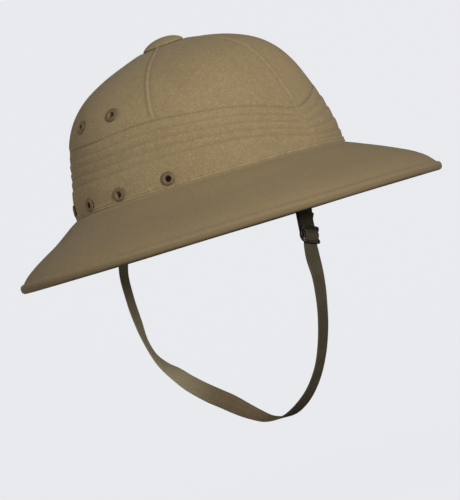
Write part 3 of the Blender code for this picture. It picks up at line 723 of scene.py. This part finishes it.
def cloth_finish(name):
    """Weave from two crossed sines on the cloth's own coordinates, broken up by noise."""
    finish = Finish(name, 0.88, sheen=0.04, specular=0.15)
    flat = finish.node("ShaderNodeUVMap", {"uv_map": "cloth"})
    places = finish.objects()
    wobble = finish.noise(places, 900.0, 2.0) * 0.0006
    thread = 2 * math.pi / THREAD_SPACING
    weave = ((finish.along(flat, 0) + wobble) * thread).sine()
    weave = weave * ((finish.along(flat, 1) + wobble) * thread).sine()
    slub = finish.noise(finish.stretch(flat, (260.0, 1500.0, 1.0)), 1.0, 2.0)
    slub = slub + finish.noise(finish.stretch(flat, (1500.0, 260.0, 1.0)), 1.0, 2.0)
    fine = finish.noise(places, 1400.0, 2.0)
    mottle = finish.noise(places, 170.0, 4.0, 0.62)
    drift = finish.noise(places, 17.0, 3.0)
    speck, worn = finish.noise(places, 760.0, 2.0), finish.attribute("worn")
    rubbed = worn * finish.noise(places, 260.0, 4.0).ramp(0.38, 0.60)
    scuff = worn * finish.noise(places, 120.0, 5.0).ramp(0.60, 0.68)
    colour = finish.layers(
        finish.mix((mottle * 0.5 + drift * 0.5).ramp(0.34, 0.66), CLOTH_DARK, CLOTH_LIGHT),
        (0.70, CLOTH_BASE), (speck.ramp(0.52, 0.72) * 0.52, CLOTH_DARK),
        (speck.ramp(0.48, 0.28) * 0.45, CLOTH_WORN),
        ((slub + fine).ramp(1.2, 1.8) * 0.34, CLOTH_DARK),
        ((slub + fine * 0.7).ramp(1.45, 1.95) * 0.30, CLOTH_WORN),
        (rubbed * 0.35, CLOTH_WORN), (scuff * 0.6, CLOTH_DIRT_AND_SHADE),
        # Painted shade in the folds, rib grooves, bead, brim foot, rim and button foot; on the rim
        # it is partly dirt.
        (finish.attribute("shade_and_dirt") * 0.20, CLOTH_DIRT_AND_SHADE),
        (finish.attribute("soiled") * 0.62, CLOTH_DARK),
        (finish.attribute("inside") * 0.9, INSIDE_COLOUR))
    height = weave * 0.22 + slub * 0.9 + fine * 0.8
    normal = finish.bump(height, 0.00016, 0.9, finish.bump(mottle, 0.0004, 0.6))
    finish.feed(Base_Color=colour, Roughness=0.84 + mottle * 0.14, Normal=normal)
    return finish.material


shell.data.materials.append(cloth_finish("khaki_cloth_look"))
print("cloth material made")

# %% [markdown]
# ## Eyelets
# Two-part brass eyelets, blackened and rubbed, let air through the crown. Each is turned from one
# closed section: a domed flange outside, a barrel through the wall and a clinched ring inside.
# The shell gets a real hole for each, cut by a Boolean with one mesh of short plugs.

# %% Where the eyelets sit
GAP, EYELET_GAP = 0.0003, 0.0004
EYELET_RADIUS, EYELET_BORE, EYELET_WALL = 0.0048, 0.0021, 0.0007
EYELET_FLANGE, EYELET_CLINCH = 0.0009, 0.0005
LOW_RISE = BEAD_WIDTH / 2 + GAP + EYELET_RADIUS
HIGH_RISE = 0.632 * CROWN_HEIGHT
EYELETS = [
    ("eyelet_low_1", -147.9, LOW_RISE), ("eyelet_low_2", -170.3, LOW_RISE),
    ("eyelet_low_3", 170.3, LOW_RISE), ("eyelet_low_4", 147.9, LOW_RISE),
    ("eyelet_high_1", -167.8, HIGH_RISE), ("eyelet_high_2", 167.8, HIGH_RISE)]


def band_relief(turn, height):
    """How far the band below the lowest fold stands out of the smooth crown."""
    bottom = fold_line(turn, FOLD_COUNT - 1)
    return FOLD_DEPTH * np.where(height < bottom, height / bottom, 0.0)


def eyelet_seat(turn, rise):
    """Place, normal, and the flanges' distances that clear the curved wall all round."""
    height = rise / CROWN_HEIGHT
    where = np.array(turn), np.array(height)
    place, normal = crown(*where), crown_normal(*where)
    ring = np.linspace(0, 2 * math.pi, 200, endpoint=False)
    turns = turn + EYELET_RADIUS * np.cos(ring) / plan_radius(height)
    heights = height + EYELET_RADIUS * np.sin(ring) / CROWN_HEIGHT
    form, away = crown(turns, heights), crown_normal(turns, heights)
    skin = form + away * band_relief(turns, heights)[:, None]
    within = form - away * WALL
    middle = band_relief(np.array([turn]), np.array([height]))[0]
    outer = max(middle, float(((skin - place) @ normal).max())) + EYELET_GAP
    inner = min(-WALL, float(((within - place) @ normal).min())) - EYELET_GAP
    return place, normal, outer, inner


for name, degrees, rise in EYELETS:
    print(name, eyelet_seat(math.radians(degrees), rise)[0].round(4))


# %% Eyelet pieces
def rounded(points):
    """A closed section whose corners are cut into short arcs by repeated corner cutting."""
    points = np.asarray(points, float)
    for _ in range(2):
        after = np.roll(points, -1, 0)
        cut = [0.8 * points + 0.2 * after, 0.2 * points + 0.8 * after]
        points = np.stack(cut, 1).reshape(-1, 2)
    return points


def turned(name, section, place, normal, marks, sides=56):
    """A section (radius, level) turned about a normal at a place."""
    turn = np.linspace(0, 2 * math.pi, sides, endpoint=False)
    across = unit(np.cross(Z_AXIS, normal))
    along = np.cross(normal, across)
    circle = np.cos(turn)[:, None] * across + np.sin(turn)[:, None] * along
    places = place + section[:, :1, None] * circle + section[:, 1:, None] * normal
    quads = grid_faces(len(section) + 1, sides) % (len(section) * sides)
    made = new_mesh_object(name, places, quads.tolist())
    for label, values in marks.items():
        store(made.data, label, np.repeat(values, sides))
    return tidy_normals(made)


def tidy_normals(made):
    """Turns all faces of a closed piece outwards and hands it back."""
    work = bmesh.new()
    work.from_mesh(made.data)
    bmesh.ops.recalc_face_normals(work, faces=work.faces)
    work.to_mesh(made.data)
    work.free()
    return made


def eyelet_section(outer, inner):
    """Domed flange with a rolled lip at the bore, barrel, and clinched ring."""
    barrel = EYELET_BORE + EYELET_WALL
    top = outer + EYELET_FLANGE
    bore, edge, clinch = EYELET_BORE, EYELET_RADIUS, EYELET_RADIUS - EYELET_WALL
    under = inner - EYELET_CLINCH
    lip = [(bore + 0.0002, top - 0.0001), (bore + 0.0008, top + 0.00005)]
    dome = [(bore + 0.0014, top - 0.0001), (edge - 0.0009, top - 0.00025)]
    dome += [(edge - 0.0002, top - 0.0005), (edge, outer + 0.0001)]
    sleeve = [(edge - 0.0003, outer), (barrel, outer), (barrel, inner), (clinch, inner)]
    clinched = [(clinch - 0.0002, under), (bore, under), (bore, outer + 0.0004)]
    return rounded(lip + dome + sleeve + clinched)


LIP_WIDTH = 0.0012
plugs, eyelet_pieces = [], []
for name, degrees, rise in EYELETS:
    place, normal, outer, inner = eyelet_seat(math.radians(degrees), rise)
    section = eyelet_section(outer, inner)
    lip = np.clip(1 - (section[:, 0] - EYELET_BORE) / LIP_WIDTH, 0, 1)
    piece = turned(name + "_ring", section, place, normal, {"lip": lip})
    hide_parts(name)
    eyelet_pieces.append(piece)
    plugs.append((place, normal, EYELET_BORE + EYELET_WALL + EYELET_GAP))
print("eyelets:", len(eyelet_pieces))


# %% Holes through the shell
def cut_holes(target, cutters):
    """One Boolean with all plugs; its result is kept and the plugs are removed."""
    work = bmesh.new()
    for place, normal, radius in cutters:
        aim = Vector(normal).to_track_quat("Z", "Y").to_matrix().to_4x4()
        seat = Matrix.Translation(Vector(place)) @ aim
        bmesh.ops.create_cone(work, cap_ends=True, segments=40, radius1=radius, radius2=radius,
                              depth=4 * EYELET_RADIUS, matrix=seat)
    mesh = bpy.data.meshes.new("plugs")
    work.to_mesh(mesh)
    work.free()
    plug = add_object("plugs", mesh)
    cut = target.modifiers.new("holes", "BOOLEAN")
    cut.operation, cut.solver, cut.object = "DIFFERENCE", "EXACT", plug
    bpy.context.view_layer.update()
    seen = target.evaluated_get(bpy.context.evaluated_depsgraph_get())
    result = bpy.data.meshes.new_from_object(seen)
    target.modifiers.clear()
    target.data = result
    bpy.data.objects.remove(plug, do_unlink=True)


cut_holes(shell, plugs)
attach(shell, "root")
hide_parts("shell")
print("shell after holes:", len(shell.data.polygons))

# %% [markdown]
# ## Blackened eyelet metal
# The finish is a thin brown black over brass that has rubbed through on the rolled lip round the
# bore, so the lip is paler and a little smoother than the flange.

# %% Eyelet material
BLACKENED = (0.080, 0.056, 0.031)
BROWNED = (0.140, 0.100, 0.055)
RUBBED_BRASS = (0.20, 0.140, 0.072)


def eyelet_finish():
    """Two dark tones mixed by noise, with the lip's mark letting the brass through."""
    finish = Finish("eyelet_look", 0.5, metallic=0.05, specular=0.15)
    places = finish.objects()
    patchy = finish.noise(places, 700.0, 4.0)
    colour = finish.mix(patchy.ramp(0.35, 0.65), BLACKENED, BROWNED)
    bare = finish.attribute("lip") * finish.noise(places, 1100.0, 3.0).ramp(0.35, 0.6)
    colour = finish.mix(bare * 0.8, colour, RUBBED_BRASS)
    finish.feed(Base_Color=colour, Roughness=0.62 - bare * 0.2,
                Normal=finish.bump(patchy, 0.00008, 0.6))
    return finish.material


eyelet_look = eyelet_finish()
for piece in eyelet_pieces:
    piece.data.materials.append(eyelet_look)
    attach(piece, "root")
print("eyelet material made")

# %% [markdown]
# ## The button
# A round fibre disc covered in the same cotton hides where the ribs meet. It is a low dome whose
# lower edge follows the crown under it, with the cloth tucked in at the edge.

# %% Button piece
BUTTON_SECTION = np.array([  # share of the radius, share of the height
    (0.00, 1.000), (0.20, 0.978), (0.40, 0.910), (0.60, 0.790), (0.78, 0.605), (0.91, 0.395),
    (0.975, 0.24), (1.00, 0.120), (0.985, 0.02), (0.94, 0.000), (0.60, 0.000), (0.20, 0.000)])
BUTTON_SIDES = 96


def crown_top(x, y):
    """Height of the smooth crown over a place in its plan."""
    samples = np.linspace(0, 1, 400)
    size = smooth(SECTION_DEPTH, CROWN_SECTION[:, 1], samples)
    depth = np.zeros_like(x)
    for _ in range(8):
        lean = CROWN_BACK_LEAN * smooth(SECTION_DEPTH, CROWN_SECTION[:, 2], depth)
        ahead, aside = (x + lean) / (CROWN_LENGTH / 2), y / (CROWN_WIDTH / 2)
        depth = np.interp(np.hypot(ahead, aside), size, samples)
    height = 1 - depth**2
    return CROWN_HEIGHT * height + CROWN_FRONT_RISE * ahead * height


def build_button():
    """Rings at the section's shares, each riding on the crown's own height below it."""
    turn = np.linspace(0, 2 * math.pi, BUTTON_SIDES, endpoint=False)
    run = np.linspace(0, len(BUTTON_SECTION) - 1, 40)[1:-1]
    index = np.arange(len(BUTTON_SECTION), dtype=float)
    out = smooth(index, BUTTON_SECTION[:, 0], run)[:, None]
    rise = np.clip(smooth(index, BUTTON_SECTION[:, 1], run), 0, 1)[:, None]
    x = -CROWN_BACK_LEAN + BUTTON_RADIUS * out * np.cos(turn)
    y = BUTTON_RADIUS * out * np.sin(turn)
    places = np.stack([x, y, crown_top(x, y) + GAP + BUTTON_HEIGHT * rise], -1)
    foot = np.array([-CROWN_BACK_LEAN, 0.0, CROWN_HEIGHT + GAP])
    vertices = np.concatenate([places.reshape(-1, 3), [foot + BUTTON_HEIGHT * Z_AXIS], [foot]])
    quads, fans = grid_faces(len(places), BUTTON_SIDES), end_fans(len(places), BUTTON_SIDES)
    made = new_mesh_object("button_cloth", vertices, quads.tolist() + fans.tolist())
    flat = vertices[:, :2]
    corners = np.concatenate([flat[quads].reshape(-1, 2), flat[fans].reshape(-1, 2)])
    made.data.uv_layers.new(name="cloth").data.foreach_set("uv", corners.ravel())
    # Painted shade round the button's foot, where it sits on the crown.
    marks = {"worn": (0.5 * bell(out, 0.99, 0.05), (0, 0)), "shade_and_dirt": (rise < 0.04, (0, 1)),
             "inside": (0 * out, (0, 0)), "soiled": (0 * out, (0, 0))}
    for name, (values, ends) in marks.items():
        store(made.data, name, np.append(np.repeat(values * 1.0, BUTTON_SIDES), ends))
    return tidy_normals(made)


button = build_button()
button.data.materials.append(cloth_finish("button_cloth_look"))
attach(button, "root")
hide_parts("crown_button")
print("button faces:", len(button.data.polygons))

# %% [markdown]
# ## The chin strap
# One woven band does everything: its cut tail hangs beside the doubled part, it wraps the slide's
# middle bar, climbs over the right anchor, comes down through the slide again, hangs in a loop
# that twists as it goes, and climbs to the left anchor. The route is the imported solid's own, read
# more finely, and the band is a thin section carried along it with the width's turning direction.

# %% Sizes of the strap and its fittings
STRAP_WIDTH, STRAP_THICKNESS, STRAP_DROP = 0.0127, 0.0010, 0.1723
STRAP_AHEAD, SLIDE_TRAIL, STRAP_SWING = 0.002, 0.018, 0.024
WIRE_RADIUS, SLIDE_DROP, SLIDE_INSET, SLIDE_HALF_HEIGHT = 0.0008, 0.0558, 0.0015, 0.0050
SLIDE_BOW, SLIDE_CORNER, TAIL_LENGTH, TAIL_SKEW = 0.0024, 0.0018, 0.018, 0.0022
ANCHOR_RISE, ANCHOR_BAR, ANCHOR_PLATE, ANCHOR_HEIGHT = 0.006, 0.0015, 0.0010, 0.0016
ANCHOR_GAP, STRAP_SIDE_GAP = 0.0006, 0.0006
TURN_RADIUS = math.hypot(ANCHOR_BAR, ANCHOR_HEIGHT) / 2 + GAP + STRAP_THICKNESS / 2
BAR_INWARD = ANCHOR_PLATE + 2 * GAP + STRAP_THICKNESS / 2 + TURN_RADIUS
WRAP_RADIUS = WIRE_RADIUS + GAP + STRAP_THICKNESS / 2
LAYER = STRAP_THICKNESS + 2 * GAP
HALF_OPENING = STRAP_WIDTH / 2 + STRAP_SIDE_GAP
TURN_STEPS = 7
# shares of the half width to the left, of the swing back and of the way down, then the roll
STRAP_LOOP = np.array([
    (-0.945, 0.87, 0.058, 4), (-0.950, 0.94, 0.212, -3), (-0.918, 0.99, 0.381, -8),
    (-0.854, 1.00, 0.536, -8), (-0.729, 1.00, 0.722, -7), (-0.573, 1.00, 0.861, 1),
    (-0.419, 1.00, 0.946, 9), (-0.299, 1.00, 0.987, 9), (-0.180, 1.00, 1.000, 5),
    (-0.055, 1.00, 0.989, -2), (0.040, 1.00, 0.957, -11), (0.159, 1.00, 0.907, -27),
    (0.299, 1.00, 0.841, -47), (0.478, 1.00, 0.765, -52), (0.668, 1.00, 0.668, -31),
    (0.807, 1.00, 0.575, -10), (0.907, 1.00, 0.506, 12), (0.981, 1.00, 0.428, 29),
    (1.025, 0.99, 0.343, 32), (1.055, 0.97, 0.196, 22), (1.086, 0.90, 0.026, 20),
    (1.104, 0.76, -0.159, 17), (1.050, 0.48, -0.345, 13)])


class Side:
    """Where one end of the strap hangs on the inner wall, and the directions there."""

    def __init__(self, sign):
        half_length = CROWN_LENGTH / 2
        turn = sign * (math.pi / 2 - math.asin(STRAP_AHEAD / half_length))
        height = ANCHOR_RISE / CROWN_HEIGHT
        normal = crown_normal(np.array(turn), np.array(height))
        self.inward = -unit(normal * (1.0 - Z_AXIS))
        self.across = unit(X_AXIS - self.inward * self.inward[0])
        wall = crown(np.array(turn), np.array(height)) - WALL * normal
        reach = turn + np.array([-1, 0, 1]) * (HALF_OPENING + ANCHOR_BAR) / half_length
        top = np.full(3, height + ANCHOR_HEIGHT / CROWN_HEIGHT)
        near = crown(reach, top) - WALL * crown_normal(reach, top)
        seat = ((near - wall) @ self.inward).max()
        self.place = (wall + self.inward * (seat + ANCHOR_GAP)) * (1.0 - Z_AXIS)
        swing = math.atan2(SLIDE_TRAIL, SLIDE_DROP + ANCHOR_RISE)
        self.hang = Z_AXIS * math.cos(swing) + self.across * math.sin(swing)
        self.wide = self.across * math.cos(swing) - Z_AXIS * math.sin(swing)

    def at(self, inward, up, across=0.0):
        """A point in from the anchor's back, up from the foot and along the strap's width."""
        return self.place + self.inward * inward + Z_AXIS * up + self.across * across


def slide_point(side, across, out, up):
    """Middle of the slide plus steps across it, outwards and up along the hanging strap."""
    middle = side.at(SLIDE_INSET - out, -SLIDE_DROP, -SLIDE_TRAIL)
    return middle + side.hang * up + side.wide * across


right_side, left_side = Side(-1), Side(1)
print("strap hangs from", right_side.place.round(4), "and", left_side.place.round(4))


# %% Route of the strap
def arc(centre, start, end, radius):
    """Points (inward, up) round a centre between two angles in degrees."""
    angles = np.radians(np.linspace(start, end, TURN_STEPS))
    return [(centre[0] + radius * math.cos(a), centre[1] + radius * math.sin(a)) for a in angles]


def doubled_route(right):
    """Points and width directions from the tail round the slide's bar and the right anchor."""
    over = WRAP_RADIUS + LAYER
    rise = math.asin((over + WRAP_RADIUS) / math.hypot(SLIDE_HALF_HEIGHT, SLIDE_BOW))
    slope = rise - math.atan2(SLIDE_BOW, SLIDE_HALF_HEIGHT)

    def inside_end(layer, end, angle=0.0):
        """Out and up of a layer of webbing inside one of the slide's end bars."""
        radius = WRAP_RADIUS + layer * LAYER
        up = SLIDE_HALF_HEIGHT - radius * math.sin(angle)
        return SLIDE_BOW - radius * math.cos(angle), end * up

    tail = SLIDE_BOW - over
    route = [(tail, TAIL_LENGTH), (tail, (TAIL_LENGTH + SLIDE_HALF_HEIGHT) / 2)]
    route += [inside_end(1, 1), inside_end(1, 1, slope)]
    route += arc((0.0, 0.0), math.degrees(slope), -180, WRAP_RADIUS)
    route += [inside_end(2, 1)]
    points = [slide_point(right, 0.0, *place) for place in route]
    points[0] = points[0] + right.wide * TAIL_SKEW
    widths = [right.wide] * len(points)
    bar = (BAR_INWARD, ANCHOR_RISE)
    points += [right.at(inward, up) for inward, up in arc(bar, 0, 180, TURN_RADIUS)]
    widths += [right.across] * TURN_STEPS
    route = [inside_end(0, 1), inside_end(0, 1, slope)]
    route += [(over * math.cos(slope), over * math.sin(slope)), (over, 0.0)]
    route += [(over * math.cos(slope), -over * math.sin(slope))]
    route += [inside_end(0, -1, slope), inside_end(0, -1)]
    points += [slide_point(right, 0.0, *place) for place in route]
    return points, widths + [right.wide] * len(route)


def hanging_route():
    """Points of the loop and its width directions, each rolled about the loop's own line."""
    start = SLIDE_DROP + SLIDE_HALF_HEIGHT
    aside, back, low, rolls = STRAP_LOOP.T
    depth = start + low * (STRAP_DROP - start)
    loop = np.stack([STRAP_AHEAD - back * STRAP_SWING, aside * CROWN_WIDTH / 2, -depth], -1)
    tangents, roll = unit(np.gradient(loop, axis=0)), np.radians(rolls)[:, None]
    flat = unit(X_AXIS - tangents * tangents[:, :1])
    return list(loop), list(flat * np.cos(roll) + np.cross(tangents, flat) * np.sin(roll))


def sewn_route(left):
    """Points and width directions over the left anchor and down to the sewn end."""
    ending = arc((BAR_INWARD, ANCHOR_RISE), 180, 0, TURN_RADIUS)
    points = [left.at(inward, up) for inward, up in [(ending[0][0], 0.0)] + ending]
    points += [left.at(ending[-1][0], ANCHOR_RISE - TAIL_LENGTH, -TAIL_SKEW)]
    return points, [left.across] * len(points)


# %% The route read as a smooth line
def resample(points, widths, step):
    """A cubic through the route against its length, read every step or closer."""
    lengths = np.linalg.norm(np.diff(points, axis=0), axis=1)
    places = np.concatenate([[0.0], np.cumsum(lengths)])
    counts = np.maximum(2, np.ceil(lengths / step)).astype(int)
    wanted = [start + length * np.arange(count) / count
              for start, length, count in zip(places[:-1], lengths, counts)]
    wanted = np.concatenate(wanted + [places[-1:]])
    line = np.stack([smooth(places, points[:, axis], wanted) for axis in range(3)], -1)
    width = np.stack([smooth(places, widths[:, axis], wanted) for axis in range(3)], -1)
    return line, width, wanted


STRAP_STEP, CUT_REACH = 0.0016, 0.0012
stretches = doubled_route(right_side), hanging_route(), sewn_route(left_side)
route_points, route_widths = (np.array(sum(lists, [])) for lists in zip(*stretches))
line, width, run = resample(route_points, route_widths, STRAP_STEP)
print("strap rows:", len(line), "length:", round(float(run[-1]), 4))


# %% The band as a section carried along the route
def band_profile():
    """Closed section of the webbing: shares across and of the thickness, rounded at both edges."""
    inner = np.linspace(-0.93, 0.93, 11)
    thick = 0.5 - 0.05 * np.cos(math.pi * inner / 2) ** 2
    edge = np.array([(0.985, 0.34), (1.0, 0.0), (0.985, -0.34)])
    upper = np.stack([inner, thick], -1)
    lower = np.stack([inner[::-1], -thick[::-1]], -1)
    return np.concatenate([upper, edge, lower, -edge])


def build_band():
    """Section times (width, normal) at each row; the normal is the route's times the width's."""
    tangents = unit(np.gradient(line, axis=0))
    across = unit(width - tangents * (width * tangents).sum(-1, keepdims=True))
    normal = np.cross(tangents, across)
    profile = band_profile()
    uneven = 1 + 0.006 * np.sin(run / 0.0031) + 0.005 * np.sin(run / 0.0113 + 1.0)
    side = profile[:, 0] * STRAP_WIDTH / 2
    lift = profile[:, 1] * STRAP_THICKNESS
    places = line[:, None] + across[:, None] * (side * uneven[:, None])[..., None]
    places = places + normal[:, None] * lift[:, None]
    rows, sides = places.shape[:2]
    quads = grid_faces(rows, sides)
    ends = [list(range(sides)), list(range(rows * sides - 1, rows * sides - sides - 1, -1))]
    made = new_mesh_object("chin_strap_webbing", places, quads.tolist() + ends)
    flat = np.stack(np.broadcast_arrays(side, run[:, None]), -1).reshape(-1, 2)
    corners = [flat[quads].reshape(-1, 2)] + [flat[end] for end in ends]
    made.data.uv_layers.new(name="web").data.foreach_set("uv", np.concatenate(corners).ravel())
    store(made.data, "back", np.tile(1.0 * (lift < 0), rows))
    store(made.data, "edge", np.tile(soft_step(np.abs(profile[:, 0]), 0.86, 1.0), rows))
    cut = soft_step(CUT_REACH - np.minimum(run, run[-1] - run), 0.0, CUT_REACH)
    store(made.data, "cut", np.repeat(cut, sides))
    # Painted light: the loop's far branch hangs in shade, and its colour is painted paler towards
    # that side.
    far_painted_light = soft_step(line[:, 1] / (CROWN_WIDTH / 2), 0.3, 0.9)
    store(made.data, "far_painted_light", np.repeat(far_painted_light, sides))
    tidy_normals(made).data.set_sharp_from_angle(angle=math.radians(50))
    return made


band = build_band()
print("band faces:", len(band.data.polygons))

# %% [markdown]
# ## Olive webbing
# The webbing is a narrow herringbone: fine slanting ribs that meet along lines down its length,
# with a tighter selvedge at both edges. The outer face is dark olive, and the inner face, which
# was kept from the light and rubbed by the chin, is browner. Light is painted onto the loop's far
# branch, which hangs in shade, so it reads paler.

# %% Webbing material
OLIVE_DARK = (0.038, 0.031, 0.019)
OLIVE = (0.068, 0.056, 0.034)
BROWN_BACK = (0.160, 0.116, 0.066)
BROWN_BACK_DARK = (0.108, 0.079, 0.044)
SELVEDGE = (0.085, 0.068, 0.041)
PAINTED_LIGHT_OLIVE = (0.280, 0.238, 0.150)


def webbing_finish():
    """Herringbone height: a sine of the length plus a zigzag of the width."""
    finish = Finish("webbing_look", 0.85, sheen=0.0, specular=0.12)
    flat = finish.node("ShaderNodeUVMap", {"uv_map": "web"})
    across, along = finish.along(flat, 0), finish.along(flat, 1)
    zigzag = finish.node("ShaderNodeMath", {"operation": "PINGPONG"}, {0: across + 0.1, 1: 0.0021})
    ribs = ((along + zigzag * 1.4) * (2 * math.pi / 0.00085)).sine() * 0.5 + 0.5
    lines = (across * (2 * math.pi / 0.0007)).sine() * 0.5 + 0.5
    height = ribs * 0.8 + lines * 0.35
    grain = finish.noise(finish.stretch(flat, (2200.0, 700.0, 1.0)), 1.0, 3.0)
    drift = finish.noise(finish.objects(), 55.0, 3.0)
    yarn = (ribs * 0.5 + grain * 0.7).ramp(0.35, 0.95)
    front = finish.mix(yarn, OLIVE_DARK, OLIVE)
    back = finish.mix(yarn, BROWN_BACK_DARK, BROWN_BACK)
    colour = finish.layers(
        finish.mix(finish.attribute("back"), front, back),
        (drift.ramp(0.42, 0.64) * 0.35, SELVEDGE), (finish.attribute("edge") * 0.45, SELVEDGE),
        # Painted light on the loop's far branch.
        (finish.attribute("far_painted_light") * 0.85, PAINTED_LIGHT_OLIVE),
        (finish.attribute("cut") * 0.8, BROWN_BACK))
    finish.feed(Base_Color=colour, Roughness=0.80 + grain * 0.15,
                Normal=finish.bump(height + grain * 0.5, 0.00018, 0.9))
    return finish.material


band.data.materials.append(webbing_finish())
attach(band, "root")
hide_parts("chin_strap")
print("webbing material made")

# %% [markdown]
# ## The slide
# A black wire slide holds the doubled strap: a rounded frame whose two ends bow out over the
# webbing, with a straight middle bar behind it. The lower end bar is stamped with small teeth that
# catch the light, so its radius swells and shrinks along its length.

# %% Slide piece
TOOTH_SPACING = 0.0019
PAINTED = 1.2  # how much thicker the painted wire is than its drawn size


def wire(name, path, radius, closed, sides=14, flat=Z_AXIS):
    """A circle of a radius, which may vary, carried along a path at right angles to it."""
    if closed:
        tangents = unit(np.roll(path, -1, 0) - np.roll(path, 1, 0))
    else:
        tangents = unit(np.gradient(path, axis=0))
    sideways = unit(np.cross(tangents, flat))
    upright = np.cross(sideways, tangents)
    angle = np.linspace(0, 2 * math.pi, sides, endpoint=False)[:, None]
    circle = np.cos(angle) * sideways[:, None] + np.sin(angle) * upright[:, None]
    places = path[:, None] + circle * np.broadcast_to(radius, len(path))[:, None, None]
    count = len(path) * sides
    faces = (grid_faces(len(path) + closed, sides) % count).tolist()
    if not closed:
        faces += [list(range(sides)), list(range(count - 1, count - sides - 1, -1))]
    return tidy_normals(new_mesh_object(name, places, faces))


def slide_frame():
    """Rounded rectangle in (across, up), bowed outwards by the square of its height."""
    half = np.array([HALF_OPENING + WIRE_RADIUS, SLIDE_HALF_HEIGHT])
    arcs, outline = [], []
    for corner, signs in enumerate(((1, 1), (-1, 1), (-1, -1), (1, -1))):
        angle = math.pi / 2 * (corner + np.linspace(0, 1, 9))[:, None]
        swept = SLIDE_CORNER * np.concatenate([np.cos(angle), np.sin(angle)], 1)
        arcs.append(signs * (half - SLIDE_CORNER) + swept)
    for corner, bend in enumerate(arcs):
        share = np.linspace(0, 1, (40, 12)[corner % 2] + 2)[1:-1, None]
        outline += [bend, bend[-1] + (arcs[(corner + 1) % 4][0] - bend[-1]) * share]
    outline = np.concatenate(outline)
    bow = SLIDE_BOW * (outline[:, 1] / SLIDE_HALF_HEIGHT) ** 2
    path = slide_point(right_side, outline[:, :1], bow[:, None], outline[:, 1:])
    lower = soft_step(-outline[:, 1], SLIDE_HALF_HEIGHT * 0.98, SLIDE_HALF_HEIGHT * 0.999)
    teeth = 1 + 0.10 * lower * np.cos(outline[:, 0] * 2 * math.pi / TOOTH_SPACING)
    return path, WIRE_RADIUS * PAINTED * teeth


frame_path, frame_radius = slide_frame()
slide_ring = wire("slide_ring", frame_path, frame_radius, True, flat=right_side.inward)
bar_ends = np.array([slide_point(right_side, share * (HALF_OPENING + WIRE_RADIUS * 0.6), 0.0, 0.0)
                     for share in np.linspace(-1, 1, 12)])
slide_bar = wire("slide_bar", bar_ends, WIRE_RADIUS * 0.97, False)
print("slide path points:", len(frame_path))

# %% Slide and anchor materials
PAINT_BLACK = (0.012, 0.011, 0.010)
PAINT_WORN = (0.038, 0.034, 0.030)


def painted_finish(name, dark, worn, metallic):
    """Black paint with faint rubbed patches from two sizes of noise."""
    finish = Finish(name, 0.35, metallic=metallic, specular=0.5)
    places = finish.objects()
    patches = finish.noise(places, 420.0, 5.0)
    fine = finish.noise(places, 2600.0, 3.0)
    colour = finish.mix((patches * 0.7 + fine * 0.3).ramp(0.50, 0.66), dark, worn)
    finish.feed(Base_Color=colour, Roughness=0.30 + patches * 0.25,
                Normal=finish.bump(patches + fine * 0.5, 0.00006, 0.5))
    return finish.material


slide_look = painted_finish("slide_look", PAINT_BLACK, PAINT_WORN, 0.3)
for piece in (slide_ring, slide_bar):
    piece.data.materials.append(slide_look)
    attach(piece, "root")
    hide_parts("slide")
anchor_look = painted_finish("anchor_look", (0.20, 0.19, 0.17), (0.36, 0.34, 0.30), 0.9)
for name in ("strap_anchor_right", "strap_anchor_left"):
    for slot in frame["nodes"][name].material_slots:
        slot.material = anchor_look
print("metal materials made")
